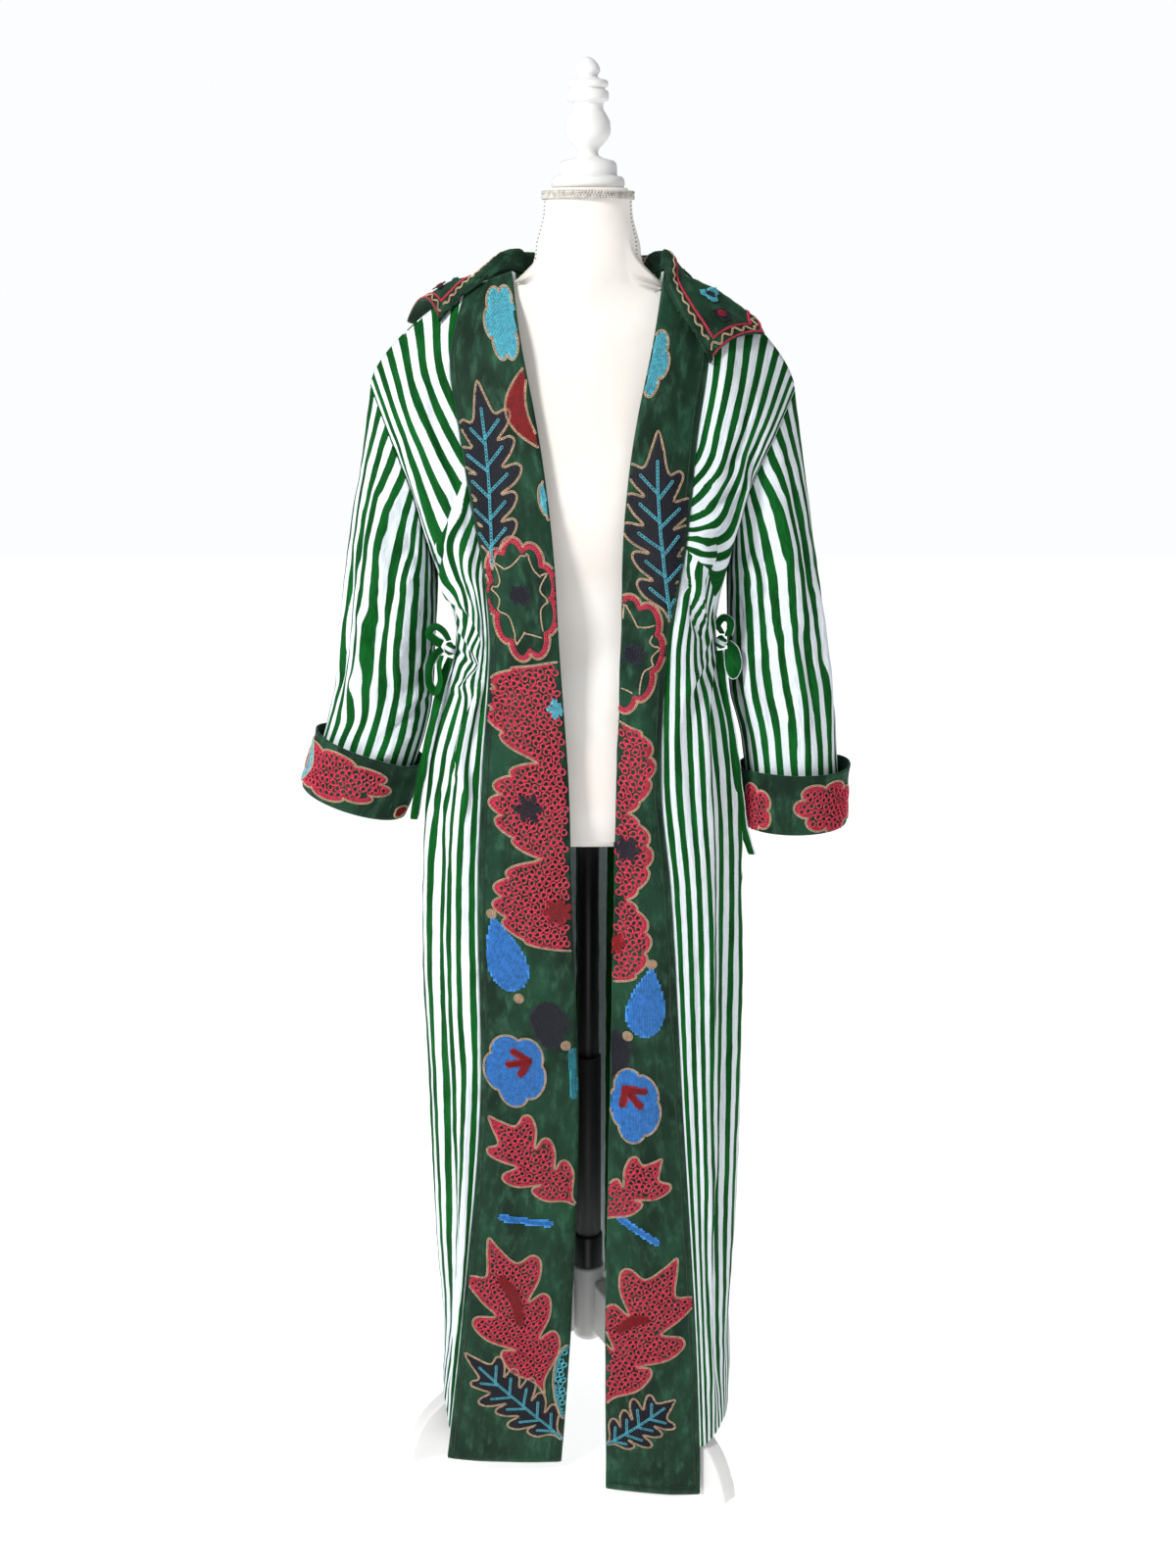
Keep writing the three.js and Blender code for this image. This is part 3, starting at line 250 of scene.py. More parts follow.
def plain_front(side, level, column):
    level, column = np.broadcast_arrays(np.asarray(level, float), np.asarray(column, float))
    edge, seam, arm = (corner(side, name, level) for name in ("edge", "seam", "side"))
    a = np.clip(column / BAND_COLS, 0, 1)
    band = mix(edge, seam, a)
    band[..., 1] -= read(FRONTS[side][0], "bow", level) * 4 * a * (1 - a)
    b = np.clip((column - BAND_COLS) / FRONT_COLS, 0, 1)
    front = lift_over_legs(quarter(seam, arm, b), level, smooth(b / 0.3))
    return np.where((column <= BAND_COLS)[..., None], band, front)


def shoulder_line(side, column):
    two = np.full(column.shape, 2.0)
    past_band = plain_front(side, two, np.clip(column - NECK_COLS, 0, SIDE))
    middle = np.stack([0 * two, read(BACK, "y", two), read(BACK, "z", two)], -1)
    neck = quarter(middle, corner(side, "edge", two), np.clip(column / NECK_COLS, 0, 1))
    return np.where((column >= NECK_COLS)[..., None], past_band, neck)


def plain_back(level, column):
    level, column = np.broadcast_arrays(np.asarray(level, float), np.asarray(column, float))
    middle = np.stack([0 * level, read(BACK, "y", level), read(BACK, "z", level)], -1)
    halves = []
    for side in SIDES:
        arm = corner(side, "side", level)
        arm[..., 1] = np.where(level > 1, read(BACK, "armY", level), arm[..., 1])
        steps = np.abs(column)
        point = lift_over_legs(quarter(middle, arm, steps / HALF_BACK), level, 1)
        share = np.where(level > 1, smooth(np.maximum(level - 1, 0) ** 2), 0)
        halves.append(mix(point, shoulder_line(side, steps), share))
    return np.where((column < 0)[..., None], halves[0], halves[1])


def plain(panel, level, column):
    return plain_back(level, column) if panel == "back" else plain_front(panel, level, column)


def fold_depth(panel, level, across):
    depth = np.zeros(np.broadcast(level, across).shape)
    for name, high_level, high_across, low_level, low_across, width, deep in FOLDS:
        if name != panel:
            continue
        run = (level - low_level) / (high_level - low_level)
        centre = low_across + (high_across - low_across) * run
        reach = smooth((run + 0.12) / 0.24) * smooth((1.12 - run) / 0.24)
        depth += deep * reach * np.exp(-(((across - centre) / width) ** 2))
    return depth


def surface_normal(place, level, column, sign, limits, steps=(1 / 16, 1.0)):
    """The way out of a surface, from the places a step away on each side."""
    dl, dc = steps
    lows, highs = limits
    up = place(np.minimum(level + dl, highs[0]), column)
    up = up - place(np.maximum(level - dl, lows[0]), column)
    over = place(level, np.minimum(column + dc, highs[1]))
    over = over - place(level, np.maximum(column - dc, lows[1]))
    return unit(np.cross(over, up)) * sign


def panel_limits(panel):
    return ((BAND_HEM, -HALF_BACK), (2, HALF_BACK)) if panel == "back" else ((BAND_HEM, 0), (2, SIDE))


def panel_sign(panel):
    return 1 if panel == "left" else -1


def coat_plain_folds(panel, level, column):
    """The panel with its large folds, as the solids have them."""
    place = plain(panel, level, column)
    if panel == "back":
        across = column / HALF_BACK
        fade = smooth((1 - np.abs(across)) / 0.08)
    else:
        across = np.clip((column - BAND_COLS) / FRONT_COLS, 0, 1)
        fade = smooth(across / 0.12) * smooth((1 - across) / 0.12)
    fade = fade * smooth((2 - level) / 0.15)
    sign, limits = panel_sign(panel), panel_limits(panel)
    out = surface_normal(lambda l, c: plain(panel, l, c), level, column, sign, limits)
    return place + out * (fold_depth(panel, level, across) * fade)[..., None]


def uneven(a, b, scale, seed=0.0):
    """A soft unevenness from -1 to 1 over a cloth, with a given size of its patches in millimetres."""
    a, b = a / scale, b / scale
    return (
        np.sin(a * 2.1 + 1.3 * np.sin(b * 1.7 + seed) + seed * 3.1)
        + np.sin(b * 2.7 + 1.1 * np.sin(a * 2.3 - seed) + seed * 5.3)
        + 0.5 * np.sin((a + b) * 4.3 + seed * 1.9)
    ) / 2.5


# ---- creases, listed one by one
def between(a, b, c, d, t):
    """A place on the smooth line from b to c. a comes before them and d after."""
    return 0.5 * (2 * b + (c - a) * t + (2 * a - 5 * b + 4 * c - d) * t * t + (3 * b - 3 * c + d - a) * t**3)


def run_along(line):
    """How far each point of a line is from its start."""
    return np.concatenate([[0], np.cumsum(np.linalg.norm(np.diff(line, axis=0), axis=1))])


def left_of(way):
    """The way a quarter turn to the left."""
    return np.stack([-way[..., 1], way[..., 0]], -1)


def curve_points(points, count=14):
    """A smooth line through a few points."""
    points = np.asarray(points, float)
    padded = np.vstack([2 * points[0] - points[1], points, 2 * points[-1] - points[-2]])
    made = []
    for i in range(1, len(padded) - 2):
        made += [between(*padded[i - 1 : i + 3], t) for t in np.linspace(0, 1, count, endpoint=False)]
    made.append(padded[-2])
    return np.array(made)


CREASE_GAIN = 1.7


def crease_depth(creases, x, y):
    """Sum of creases: each a line, a width, a depth and, unless even, how much sharper one side is."""
    depth = np.zeros(x.shape)
    for path, width, deep, *more in creases:
        lean = more[0] if more else 0.0
        line = curve_points(path, 6)
        near = (
            (x > line[:, 0].min() - 3 * width)
            & (x < line[:, 0].max() + 3 * width)
            & (y > line[:, 1].min() - 3 * width)
            & (y < line[:, 1].max() + 3 * width)
        )
        if not near.any():
            continue
        px, py = x[near], y[near]
        best = np.full(px.shape, 1e9)
        run = np.zeros(px.shape)
        side = np.ones(px.shape)
        for i in range(len(line) - 1):
            (ax, ay), (bx, by) = line[i], line[i + 1]
            dx, dy = bx - ax, by - ay
            t = np.clip(((px - ax) * dx + (py - ay) * dy) / max(dx * dx + dy * dy, 1e-9), 0, 1)
            gap = np.hypot(px - ax - t * dx, py - ay - t * dy)
            closer = gap < best
            best = np.where(closer, gap, best)
            run = np.where(closer, (i + t) / (len(line) - 1), run)
            side = np.where(closer, np.sign((px - ax) * dy - (py - ay) * dx), side)
        spread = width * (1 - lean * side) * (0.8 + 0.35 * np.sin(5 * run + width))
        ends = smooth(run / 0.25) * smooth((1 - run) / 0.25)
        depth[near] += CREASE_GAIN * deep * np.exp(-((best / spread) ** 2)) * (0.25 + 0.75 * ends)
    return depth


# Places on a front: millimetres across from the band's seam, and height. Positive depth stands out.
CREASES = {}
CREASES["right"] = [
    ([(28, 1300), (46, 1215), (22, 1150)], 13, 2.2, 0.2),
    ([(70, 1262), (86, 1196), (66, 1120)], 12, 2.4, -0.2),
    ([(2, 1162), (34, 1118), (70, 1082), (92, 1058)], 7, -4.2, 0.4),
    ([(8, 1144), (38, 1100), (62, 1052), (48, 1006)], 16, 6.0, -0.3),
    ([(4, 1108), (26, 1062), (16, 1012)], 7, 2.4),
    ([(10, 978), (44, 1012), (72, 1040)], 6, -3.4, 0.2),
    ([(8, 980), (30, 1018), (44, 1050)], 5, 2.6),
    ([(5, 982), (17, 1020), (22, 1060)], 4, -2.4),
    ([(12, 972), (52, 992), (92, 1004)], 6, 3.0, 0.2),
    ([(12, 966), (50, 964), (96, 972)], 6, -4.4),
    ([(12, 960), (46, 940), (84, 934)], 6, 3.2),
    ([(9, 958), (36, 920), (52, 880), (40, 838)], 6, -3.6, 0.3),
    ([(6, 956), (24, 914), (34, 872), (20, 826), (32, 780)], 6, 3.4, -0.2),
    ([(4, 954), (12, 908), (16, 862), (6, 820)], 5, -2.6, 0.2),
    ([(44, 900), (66, 852), (52, 800), (62, 740)], 9, 3.2, 0.2),
    ([(58, 880), (82, 820), (70, 760), (78, 690)], 8, -3.0),
    ([(20, 800), (34, 720), (24, 620), (30, 520)], 10, -2.4, 0.2),
    ([(46, 740), (54, 620), (48, 480), (52, 360)], 12, 2.6, 0.2),
    ([(16, 560), (22, 420), (14, 280), (18, 160)], 10, 2.2),
    ([(70, 560), (66, 400), (72, 240), (68, 110)], 12, -2.6),
    ([(100, 700), (108, 520), (98, 320), (104, 130)], 14, 3.4),
    ([(36, 330), (30, 220), (40, 110)], 9, -2.0),
]
CREASES["left"] = [
    ([(22, 1310), (30, 1240), (16, 1185)], 12, 2.2),
    ([(60, 1270), (64, 1206), (44, 1150)], 10, -2.6, 0.2),
    ([(96, 1246), (92, 1180), (66, 1120), (58, 1060)], 9, -5.0, 0.3),
    ([(84, 1206), (50, 1172), (6, 1146)], 7, 3.0, 0.3),
    ([(82, 1180), (46, 1142), (4, 1120)], 6, -2.6, 0.2),
    ([(76, 1150), (42, 1118), (4, 1096)], 7, 2.8, 0.2),
    ([(70, 1120), (36, 1094), (6, 1074)], 5, -1.8),
    ([(64, 1096), (34, 1068), (20, 1058)], 6, 2.2),
    ([(4, 1082), (22, 1054), (44, 1026), (70, 1002)], 6, 3.6, 0.5),
    ([(2, 1066), (18, 1040), (42, 1012), (68, 990)], 5, -4.2, -0.3),
    ([(96, 1010), (80, 992), (66, 976)], 6, 2.6),
    ([(100, 966), (78, 930), (70, 860), (76, 780)], 6, -3.6, 0.2),
    ([(106, 964), (94, 900), (92, 820), (98, 720)], 7, 3.2),
    ([(92, 962), (60, 920), (50, 840), (54, 740)], 7, 3.0, 0.2),
    ([(86, 966), (44, 930), (32, 850), (34, 740)], 6, -2.4),
    ([(80, 968), (30, 936), (14, 860), (16, 760)], 6, 2.0),
    ([(118, 940), (114, 860), (120, 760)], 7, -3.0),
    ([(22, 740), (28, 600), (20, 440), (26, 300)], 10, -2.2),
    ([(48, 760), (42, 620), (50, 460), (44, 330)], 9, 2.4, 0.2),
    ([(70, 700), (76, 560), (68, 400), (74, 250)], 9, -2.8),
    ([(98, 720), (92, 560), (100, 380), (94, 200)], 11, 3.0),
    ([(124, 640), (128, 460), (120, 280), (126, 120)], 10, -2.8),
    ([(34, 420), (40, 300), (32, 180), (38, 90)], 9, 2.0),
    ([(62, 330), (56, 220), (64, 100)], 9, -2.0),
]
# Places on the back: millimetres from its middle, and height.
CREASES["back"] = [
    ([(-150, 985), (-120, 1050), (-60, 1120)], 14, 3.2, 0.2),
    ([(150, 985), (110, 1056), (66, 1132)], 14, 3.4, -0.2),
    ([(-190, 980), (-176, 1060), (-150, 1150)], 12, -3.0),
    ([(190, 980), (170, 1066), (158, 1160)], 12, -3.0),
    ([(-96, 982), (-60, 1040), (-24, 1086)], 10, -2.4),
    ([(92, 984), (54, 1036), (20, 1082)], 10, -2.6),
    ([(-36, 990), (-20, 1050), (-40, 1130)], 12, 2.6),
    ([(30, 988), (24, 1060), (48, 1140)], 12, 2.2),
    ([(-210, 972), (-214, 900), (-206, 800), (-212, 660)], 9, -4.0),
    ([(-178, 972), (-170, 900), (-176, 800), (-168, 700)], 8, 3.6),
    ([(-140, 972), (-146, 900), (-138, 780), (-144, 640)], 9, -4.2, 0.2),
    ([(-104, 974), (-98, 900), (-104, 800), (-96, 660)], 8, 3.4),
    ([(-68, 974), (-74, 880), (-66, 760), (-72, 600)], 9, -4.0),
    ([(-34, 974), (-28, 890), (-36, 780), (-30, 640)], 8, 3.4),
    ([(0, 974), (6, 880), (-2, 760), (4, 600)], 9, -4.4),
    ([(34, 974), (28, 890), (36, 780), (30, 650)], 8, 3.6),
    ([(70, 974), (64, 880), (72, 760), (66, 600)], 9, -4.0),
    ([(104, 974), (110, 900), (102, 800), (108, 680)], 8, 3.2),
    ([(142, 972), (136, 900), (144, 780), (138, 640)], 9, -4.2),
    ([(178, 972), (186, 900), (178, 800), (184, 700)], 8, 3.4),
    ([(212, 970), (206, 900), (214, 800), (208, 660)], 9, -4.0),
    ([(-190, 600), (-184, 440), (-192, 280), (-186, 120)], 14, 3.2),
    ([(-110, 560), (-116, 400), (-106, 240), (-112, 100)], 12, -3.4),
    ([(-30, 580), (-24, 420), (-32, 260), (-26, 110)], 13, 3.0),
    ([(60, 560), (54, 400), (62, 240), (56, 100)], 12, -3.2),
    ([(150, 580), (156, 420), (148, 260), (154, 110)], 13, 3.2),
]
# Places on a sleeve: degrees round it (0 outside, 90 in front), and a hundredth of its length.
SLEEVE_CREASES = {}
SLEEVE_CREASES["right"] = [
    ([(168, 10), (140, 24), (126, 40)], 7, -3.4, 0.3),
    ([(158, 6), (122, 16), (100, 30)], 8, 3.0),
    ([(120, 8), (96, 22), (92, 40)], 8, -2.6, 0.2),
    ([(78, 6), (70, 20), (74, 36)], 9, 2.4),
    ([(44, 8), (40, 26), (48, 44)], 8, -2.2),
    ([(176, 34), (150, 42), (128, 56)], 6, 3.2, 0.2),
    ([(180, 44), (152, 52), (136, 68)], 6, -3.4, 0.2),
    ([(176, 56), (150, 62), (120, 78)], 6, 3.0),
    ([(172, 66), (140, 76), (100, 88)], 6, -3.0, 0.2),
    ([(110, 44), (104, 58), (112, 74)], 7, 2.4),
    ([(84, 40), (80, 58), (72, 78)], 8, -2.8, 0.2),
    ([(58, 48), (62, 64), (50, 84)], 8, 2.6),
    ([(28, 40), (34, 62), (24, 84)], 9, -2.4),
    ([(6, 20), (4, 48), (8, 76)], 10, 2.2),
    ([(150, 82), (120, 88), (90, 93)], 5, 2.4),
    ([(205, 12), (222, 30), (214, 50)], 9, -2.8),
    ([(240, 14), (262, 34), (256, 60)], 9, 2.8),
    ([(290, 10), (300, 34), (288, 60)], 10, -2.6),
    ([(330, 30), (322, 54), (330, 82)], 10, 2.6),
    ([(210, 60), (232, 72), (262, 86)], 7, -2.8),
]
SLEEVE_CREASES["left"] = [
    ([(170, 10), (142, 22), (128, 38)], 7, -3.4, 0.3),
    ([(160, 5), (126, 14), (104, 28)], 8, 2.8),
    ([(116, 8), (98, 22), (102, 42)], 8, -2.4, 0.2),
    ([(74, 6), (66, 22), (72, 40)], 9, 2.2),
    ([(40, 10), (46, 30), (38, 52)], 8, -2.2),
    ([(178, 30), (156, 44), (140, 60)], 6, 3.2, 0.2),
    ([(168, 46), (150, 64), (156, 84)], 6, -3.2),
    ([(138, 44), (128, 62), (134, 82)], 6, 2.8),
    ([(116, 50), (112, 68), (118, 88)], 6, -3.2, 0.2),
    ([(92, 46), (96, 64), (88, 86)], 7, 2.6),
    ([(66, 50), (60, 68), (66, 88)], 7, -2.2),
    ([(30, 44), (26, 66), (34, 88)], 9, 2.4),
    ([(8, 30), (12, 54), (4, 80)], 9, -2.0),
    ([(204, 12), (220, 30), (212, 52)], 9, -2.8),
    ([(238, 14), (258, 34), (254, 60)], 9, 2.8),
    ([(292, 10), (302, 34), (290, 62)], 10, -2.6),
    ([(328, 30), (320, 54), (330, 82)], 10, 2.4),
    ([(212, 60), (230, 74), (258, 88)], 7, -2.8),
]
FRONT_WIDTH, BACK_WIDTH, SLEEVE_WIDTH = 140.0, 240.0, 350.0
SLEEVE_TALL = 450  # length of a sleeve's cloth


def panel_creases(panel, level, column):
    """Listed creases of the striped panels, and the velvet's softer unevenness."""
    if panel == "back":
        across = column / HALF_BACK
        x, z = across * BACK_WIDTH, read(BACK, "z", level)
        fade = smooth((1 - np.abs(across)) / 0.06) * smooth((2 - level) / 0.08)
        depth = crease_depth(CREASES["back"], x, z) + 0.5 * uneven(x, z, 22, 0.7)
        gather = np.exp(-(((level - 0.925) / 0.05) ** 2))
        depth += gather * 1.5 * np.sin(x * 0.42 + 0.8 * np.sin(x * 0.11))
        return depth * fade
    across = (column - BAND_COLS) / FRONT_COLS
    z = read(FRONTS[panel][0], "seamZ", level)
    x = across * FRONT_WIDTH
    striped = crease_depth(CREASES[panel], x, z) + 0.45 * uneven(x, z, 20, 1.1 if panel == "left" else 2.3)
    striped *= smooth(across / 0.05) * smooth((1 - across) / 0.08) * smooth((2 - level) / 0.08)
    width = column / BAND_COLS * 110
    soft = 0.9 * uneven(width, z, 46, 3.7 if panel == "left" else 5.1) + 0.25 * uneven(width, z, 13, 2.9)
    velvet = soft * smooth((2 - level) / 0.1) * smooth((BAND_COLS - column) / 0.4)
    return np.where(column > BAND_COLS, striped, velvet)


def coat_point(panel, level, column, lift=0.0):
    """A point of the finished cloth's outside, raised by a height over it."""
    level, column = np.broadcast_arrays(np.asarray(level, float), np.asarray(column, float))

    def folded(l, c):
        return coat_plain_folds(panel, l, c)

    place = folded(level, column)
    out = surface_normal(folded, level, column, panel_sign(panel), panel_limits(panel), (0.012, 0.25))
    return place + out * (panel_creases(panel, level, column) + lift)[..., None]


# ---- sleeves, cuffs
def sleeve_frame(side, along):
    rows, sign = SLEEVES[side]
    get = lambda name: read(rows, name, along)
    zero = 0 * np.asarray(along, float)
    outer = np.stack([sign * get("outerX"), zero, get("outerZ")], -1)
    inner = np.stack([sign * get("innerX"), zero, get("innerZ")], -1)
    middle, half = (outer + inner) / 2, (outer - inner) / 2
    middle[..., 1] = get("midY")
    down = unit(np.stack([-half[..., 2], zero, half[..., 0]], -1))
    down = np.where(down[..., 2:3] > 0, -down, down)
    return middle, half, down, get("halfDepth")


def ring_point(side, along, turn, grow=0.0):
    middle, half, down, depth = sleeve_frame(side, along)
    length = np.linalg.norm(half, axis=-1)
    spot = middle + half * (np.cos(turn) * (length + grow) / length)[..., None]
    spot[..., 1] -= np.sin(turn) * (depth + grow)
    return spot


def armhole(side, turn):
    """The armhole's own edge, from the shoulder tip down the front and up the back."""
    share = (turn / (2 * math.pi)) % 1.0
    front = coat_plain_folds(side, 2 - 2 * np.minimum(share, 0.5), np.full(share.shape, float(SIDE)))
    column = HALF_BACK * (-1.0 if side == "right" else 1.0)
    back = coat_plain_folds("back", 1 + 2 * np.maximum(share - 0.5, 0), np.full(share.shape, column))
    return np.where((share < 0.5)[..., None], front, back)


def sleeve_fold(side, along, turn):
    degrees = np.degrees(turn) % 360
    depth = np.zeros(np.broadcast(along, turn).shape)
    for name, turn_high, along_high, turn_low, along_low, width, deep in SLEEVE_FOLDS:
        if name != side:
            continue
        run = (along - along_high) / (along_low - along_high)
        away = ((degrees - turn_high - (turn_low - turn_high) * run + 540) % 360 - 180) / width
        depth += deep * smooth((run + 0.1) / 0.2) * smooth((1.1 - run) / 0.2) * np.exp(-away * away)
    x, y = degrees / 360 * SLEEVE_WIDTH, along * SLEEVE_TALL
    lines = [
        ([(a / 360 * SLEEVE_WIDTH, b / 100 * SLEEVE_TALL) for a, b in path], *shape)
        for path, *shape in SLEEVE_CREASES[side]
    ]
    small = crease_depth(lines, x, y) + 0.45 * uneven(np.sin(turn) * 60, y, 22, 0.9) * smooth(along / 0.1)
    beside_body = 1 - 0.65 * np.maximum(0, -np.cos(turn)) ** 4
    return (depth + 1.25 * small * beside_body * smooth(along / 0.05)) * smooth((1 - along) / 0.12)


def sleeve_point(side, along, turn, lift=0.0):
    along, turn = np.broadcast_arrays(np.asarray(along, float), np.asarray(turn, float))
    zero = np.zeros(along.shape)
    own = armhole(side, turn) - ring_point(side, zero, turn)
    keep = np.maximum(0, 1 - along / 0.4) ** 2
    spot = ring_point(side, along, turn, sleeve_fold(side, along, turn) + lift)
    down = sleeve_frame(side, along)[2]
    return spot + own * keep[..., None] + down * (0.6 * np.maximum(0, 1 - along / 0.05))[..., None]


CUFF_PROFILE = [
    (0, 9.4), (0, 3), (1.2, 0.6), (4, -0.4), (6.6, 0.8), (7.6, 4), (8.4, 14), (8.2, 28), (8.6, 44), (9.2, 58),
    (10.0, 66),
]
CUFF_LINE = curve_points(CUFF_PROFILE, 8)
CUFF_RUN = run_along(CUFF_LINE)
CUFF_LENGTH = CUFF_RUN[-1]


def cuff_point(side, run, turn, lift=0.0):
    """A place on a cuff: millimetres along its profile from the hidden end, and the turn round it."""
    run, turn = np.broadcast_arrays(np.asarray(run, float), np.asarray(turn, float))
    out, up = (np.interp(run, CUFF_RUN, CUFF_LINE[:, k]) for k in (0, 1))
    ahead = [
        np.interp(run + 1.5, CUFF_RUN, CUFF_LINE[:, k]) - np.interp(run - 1.5, CUFF_RUN, CUFF_LINE[:, k])
        for k in (0, 1)
    ]
    length = np.maximum(np.hypot(*ahead), 1e-6)
    outer = smooth((run - 22) / 14)
    seed = 1.7 if side == "left" else 4.1
    small = uneven(np.cos(turn) * 60, run, 26, seed)
    large = uneven(np.sin(turn) * 55, run * 0.4, 31, seed + 2)
    puff = outer * (0.8 * small + 0.7 * large)
    flare = 1.1 + 1.3 * np.sin(2 * turn + seed) + 0.9 * np.sin(5 * turn - seed)
    loose = outer * smooth((run - 60) / 22) * flare
    out = out + puff + loose + lift * ahead[1] / length
    up = up - lift * ahead[0] / length + outer * 0.9 * np.sin(3 * turn + seed) * smooth((run - 50) / 30)
    one = np.ones(run.shape)
    down = sleeve_frame(side, one)[2]
    return ring_point(side, one, turn, out) + down * (10 - up)[..., None]


# ---- meshes from surfaces
def put(name, mesh, materials, smooth_shade=True):
    made = bpy.data.objects.new(name, mesh)
    bpy.context.scene.collection.objects.link(made)
    for material in materials:
        mesh.materials.append(material)
    if smooth_shade:
        mesh.polygons.foreach_set("use_smooth", np.ones(len(mesh.polygons), bool))
    return made


def finished(bm, name):
    """The built faces as a mesh."""
    made = bpy.data.meshes.new(name)
    bm.to_mesh(made)
    bm.free()
    return made


class Patch:
    """A surface sampled on an even grid: places in millimetres and the way out, by u and v from 0 to 1."""

    def __init__(self, place, rows, cols, flip=False, closed=False):
        self.rows, self.cols, self.flip, self.closed = rows, cols, flip, closed
        v, u = np.meshgrid(np.linspace(0, 1, rows + 1), np.linspace(0, 1, cols + 1), indexing="ij")
        self.u, self.v = u, v
        self.places = place(u, v)
        if closed:
            self.places[:, -1] = self.places[:, 0]
        self.find_normals()

    def find_normals(self):
        p = self.places
        up = np.gradient(p, axis=0)
        over = np.gradient(p, axis=1)
        if self.closed:
            over[:, 0] = over[:, -1] = (p[:, 1] - p[:, -2]) / 2
        self.out = unit(np.cross(over, up)) * (-1 if self.flip else 1)

    def at(self, u, v, lift=0.0):
        """A place over the surface, with the height over it."""
        x, y = np.clip(np.asarray(u), 0, 1) * self.cols, np.clip(np.asarray(v), 0, 1) * self.rows
        c, r = np.minimum(x.astype(int), self.cols - 1), np.minimum(y.astype(int), self.rows - 1)
        fx, fy = (x - c)[..., None], (y - r)[..., None]
        spot = []
        for grid in (self.places, self.out):
            low_edge = grid[r, c] * (1 - fx) + grid[r, c + 1] * fx
            high_edge = grid[r + 1, c] * (1 - fx) + grid[r + 1, c + 1] * fx
            spot.append(low_edge * (1 - fy) + high_edge * fy)
        return spot[0] + unit(spot[1]) * np.asarray(lift)[..., None]

    def mesh(self, name, layers):
        """The surface as a mesh. layers gives millimetres of cloth, across and along, for each UV map."""
        bm = bmesh.new()
        bmesh.ops.create_grid(bm, x_segments=self.cols, y_segments=self.rows, size=0.5)
        if self.flip:
            bmesh.ops.reverse_faces(bm, faces=bm.faces)
        made = finished(bm, name)
        flat = np.empty(len(made.vertices) * 3)
        made.vertices.foreach_get("co", flat)
        flat = flat.reshape(-1, 3)
        c = np.rint((flat[:, 0] + 0.5) * self.cols).astype(int)
        r = np.rint((flat[:, 1] + 0.5) * self.rows).astype(int)
        made.vertices.foreach_set("co", (self.places[r, c] * MM + POLE).ravel())
        corners = np.empty(len(made.loops), int)
        made.loops.foreach_get("vertex_index", corners)
        for layer_name, (a, b) in layers.items():
            layer = made.uv_layers.new(name=layer_name)
            values = np.stack([a[r, c], b[r, c]], -1) * MM
            layer.data.foreach_set("uv", values[corners].ravel())
        if self.closed:
            bm = bmesh.new()
            bm.from_mesh(made)
            bmesh.ops.remove_doubles(bm, verts=bm.verts, dist=1e-6)
            bm.to_mesh(made)
            bm.free()
        made.update()
        return made


def thicken(piece, wall):
    """A wall behind the surface. Its inside takes the last material."""
    shell = piece.modifiers.new("wall", "SOLIDIFY")
    shell.thickness = wall * MM
    shell.offset = -1
    shell.use_rim = True
    shell.use_even_offset = False
    shell.material_offset = len(piece.data.materials) - 1


UNDERARM = 0.785  # share of a panel's rows that lie below the underarm


def level_at(v, start):
    return np.interp(v, [0, UNDERARM, 1], [start, 1, 2])


# ---- stripes: how the cloth runs
RUN = ["level", "c0", "c1", "c2", "c3", "c4"]
RUNS = {
    ("right", "upper"): table(
        RUN,
        [1.15, 84, 96, 108, 126, 148],
        [1.30, 66, 84, 102, 122, 147],
        [1.50, 40, 66, 92, 118, 146],
        [1.75, 14, 47, 80, 112, 145],
        [2.00, 0, 36, 72, 108, 144],
    ),
    ("right", "lower"): table(
        RUN,
        [0.00, 0, 35, 70, 105, 140],
        [0.30, 0, 36, 72, 108, 142],
        [0.60, 0, 38, 75, 112, 148],
        [0.80, 0, 46, 88, 122, 150],
        [0.90, 0, 62, 104, 132, 150],
        [0.965, 0, 88, 122, 138, 150],
        [1.00, 10, 78, 112, 134, 150],
        [1.10, 40, 80, 108, 130, 150],
        [1.25, 75, 98, 116, 132, 150],
        [1.40, 100, 112, 122, 134, 150],
    ),
    ("left", "upper"): table(
        RUN,
        [0.90, 190, 176, 160, 160, 175],
        [1.00, 160, 150, 142, 150, 170],
        [1.10, 115, 114, 118, 136, 165],
        [1.20, 70, 86, 102, 128, 160],
        [1.35, 28, 58, 88, 120, 154],
        [1.50, 0, 38, 76, 114, 152],
        [2.00, 0, 38, 75, 112, 150],
    ),
    ("left", "lower"): table(
        RUN,
        [0.00, 0, 55, 110, 165, 220],
        [0.45, 0, 55, 110, 165, 220],
        [0.80, 0, 52, 105, 160, 220],
        [0.93, 8, 50, 100, 160, 220],
        [1.00, 15, 62, 115, 168, 220],
        [1.10, 20, 65, 115, 165, 220],
    ),
}


def cloth_run(side, part, level, across):
    rows = RUNS[side, part]
    marks = np.stack([read(rows, "c%d" % k, level) for k in range(5)], -1)
    first, last = 2 * marks[..., :1] - marks[..., 1:2], 2 * marks[..., -1:] - marks[..., -2:-1]
    marks = np.concatenate([first, marks, last], -1)
    x = np.clip(across, 0, 0.99999) * 4
    i = x.astype(int)
    t = x - i
    return between(*(np.take_along_axis(marks, (i + k)[..., None], -1)[..., 0] for k in range(4)), t)


TUCK_SCALE = 280  # millimetres of cloth to a level, near the tuck


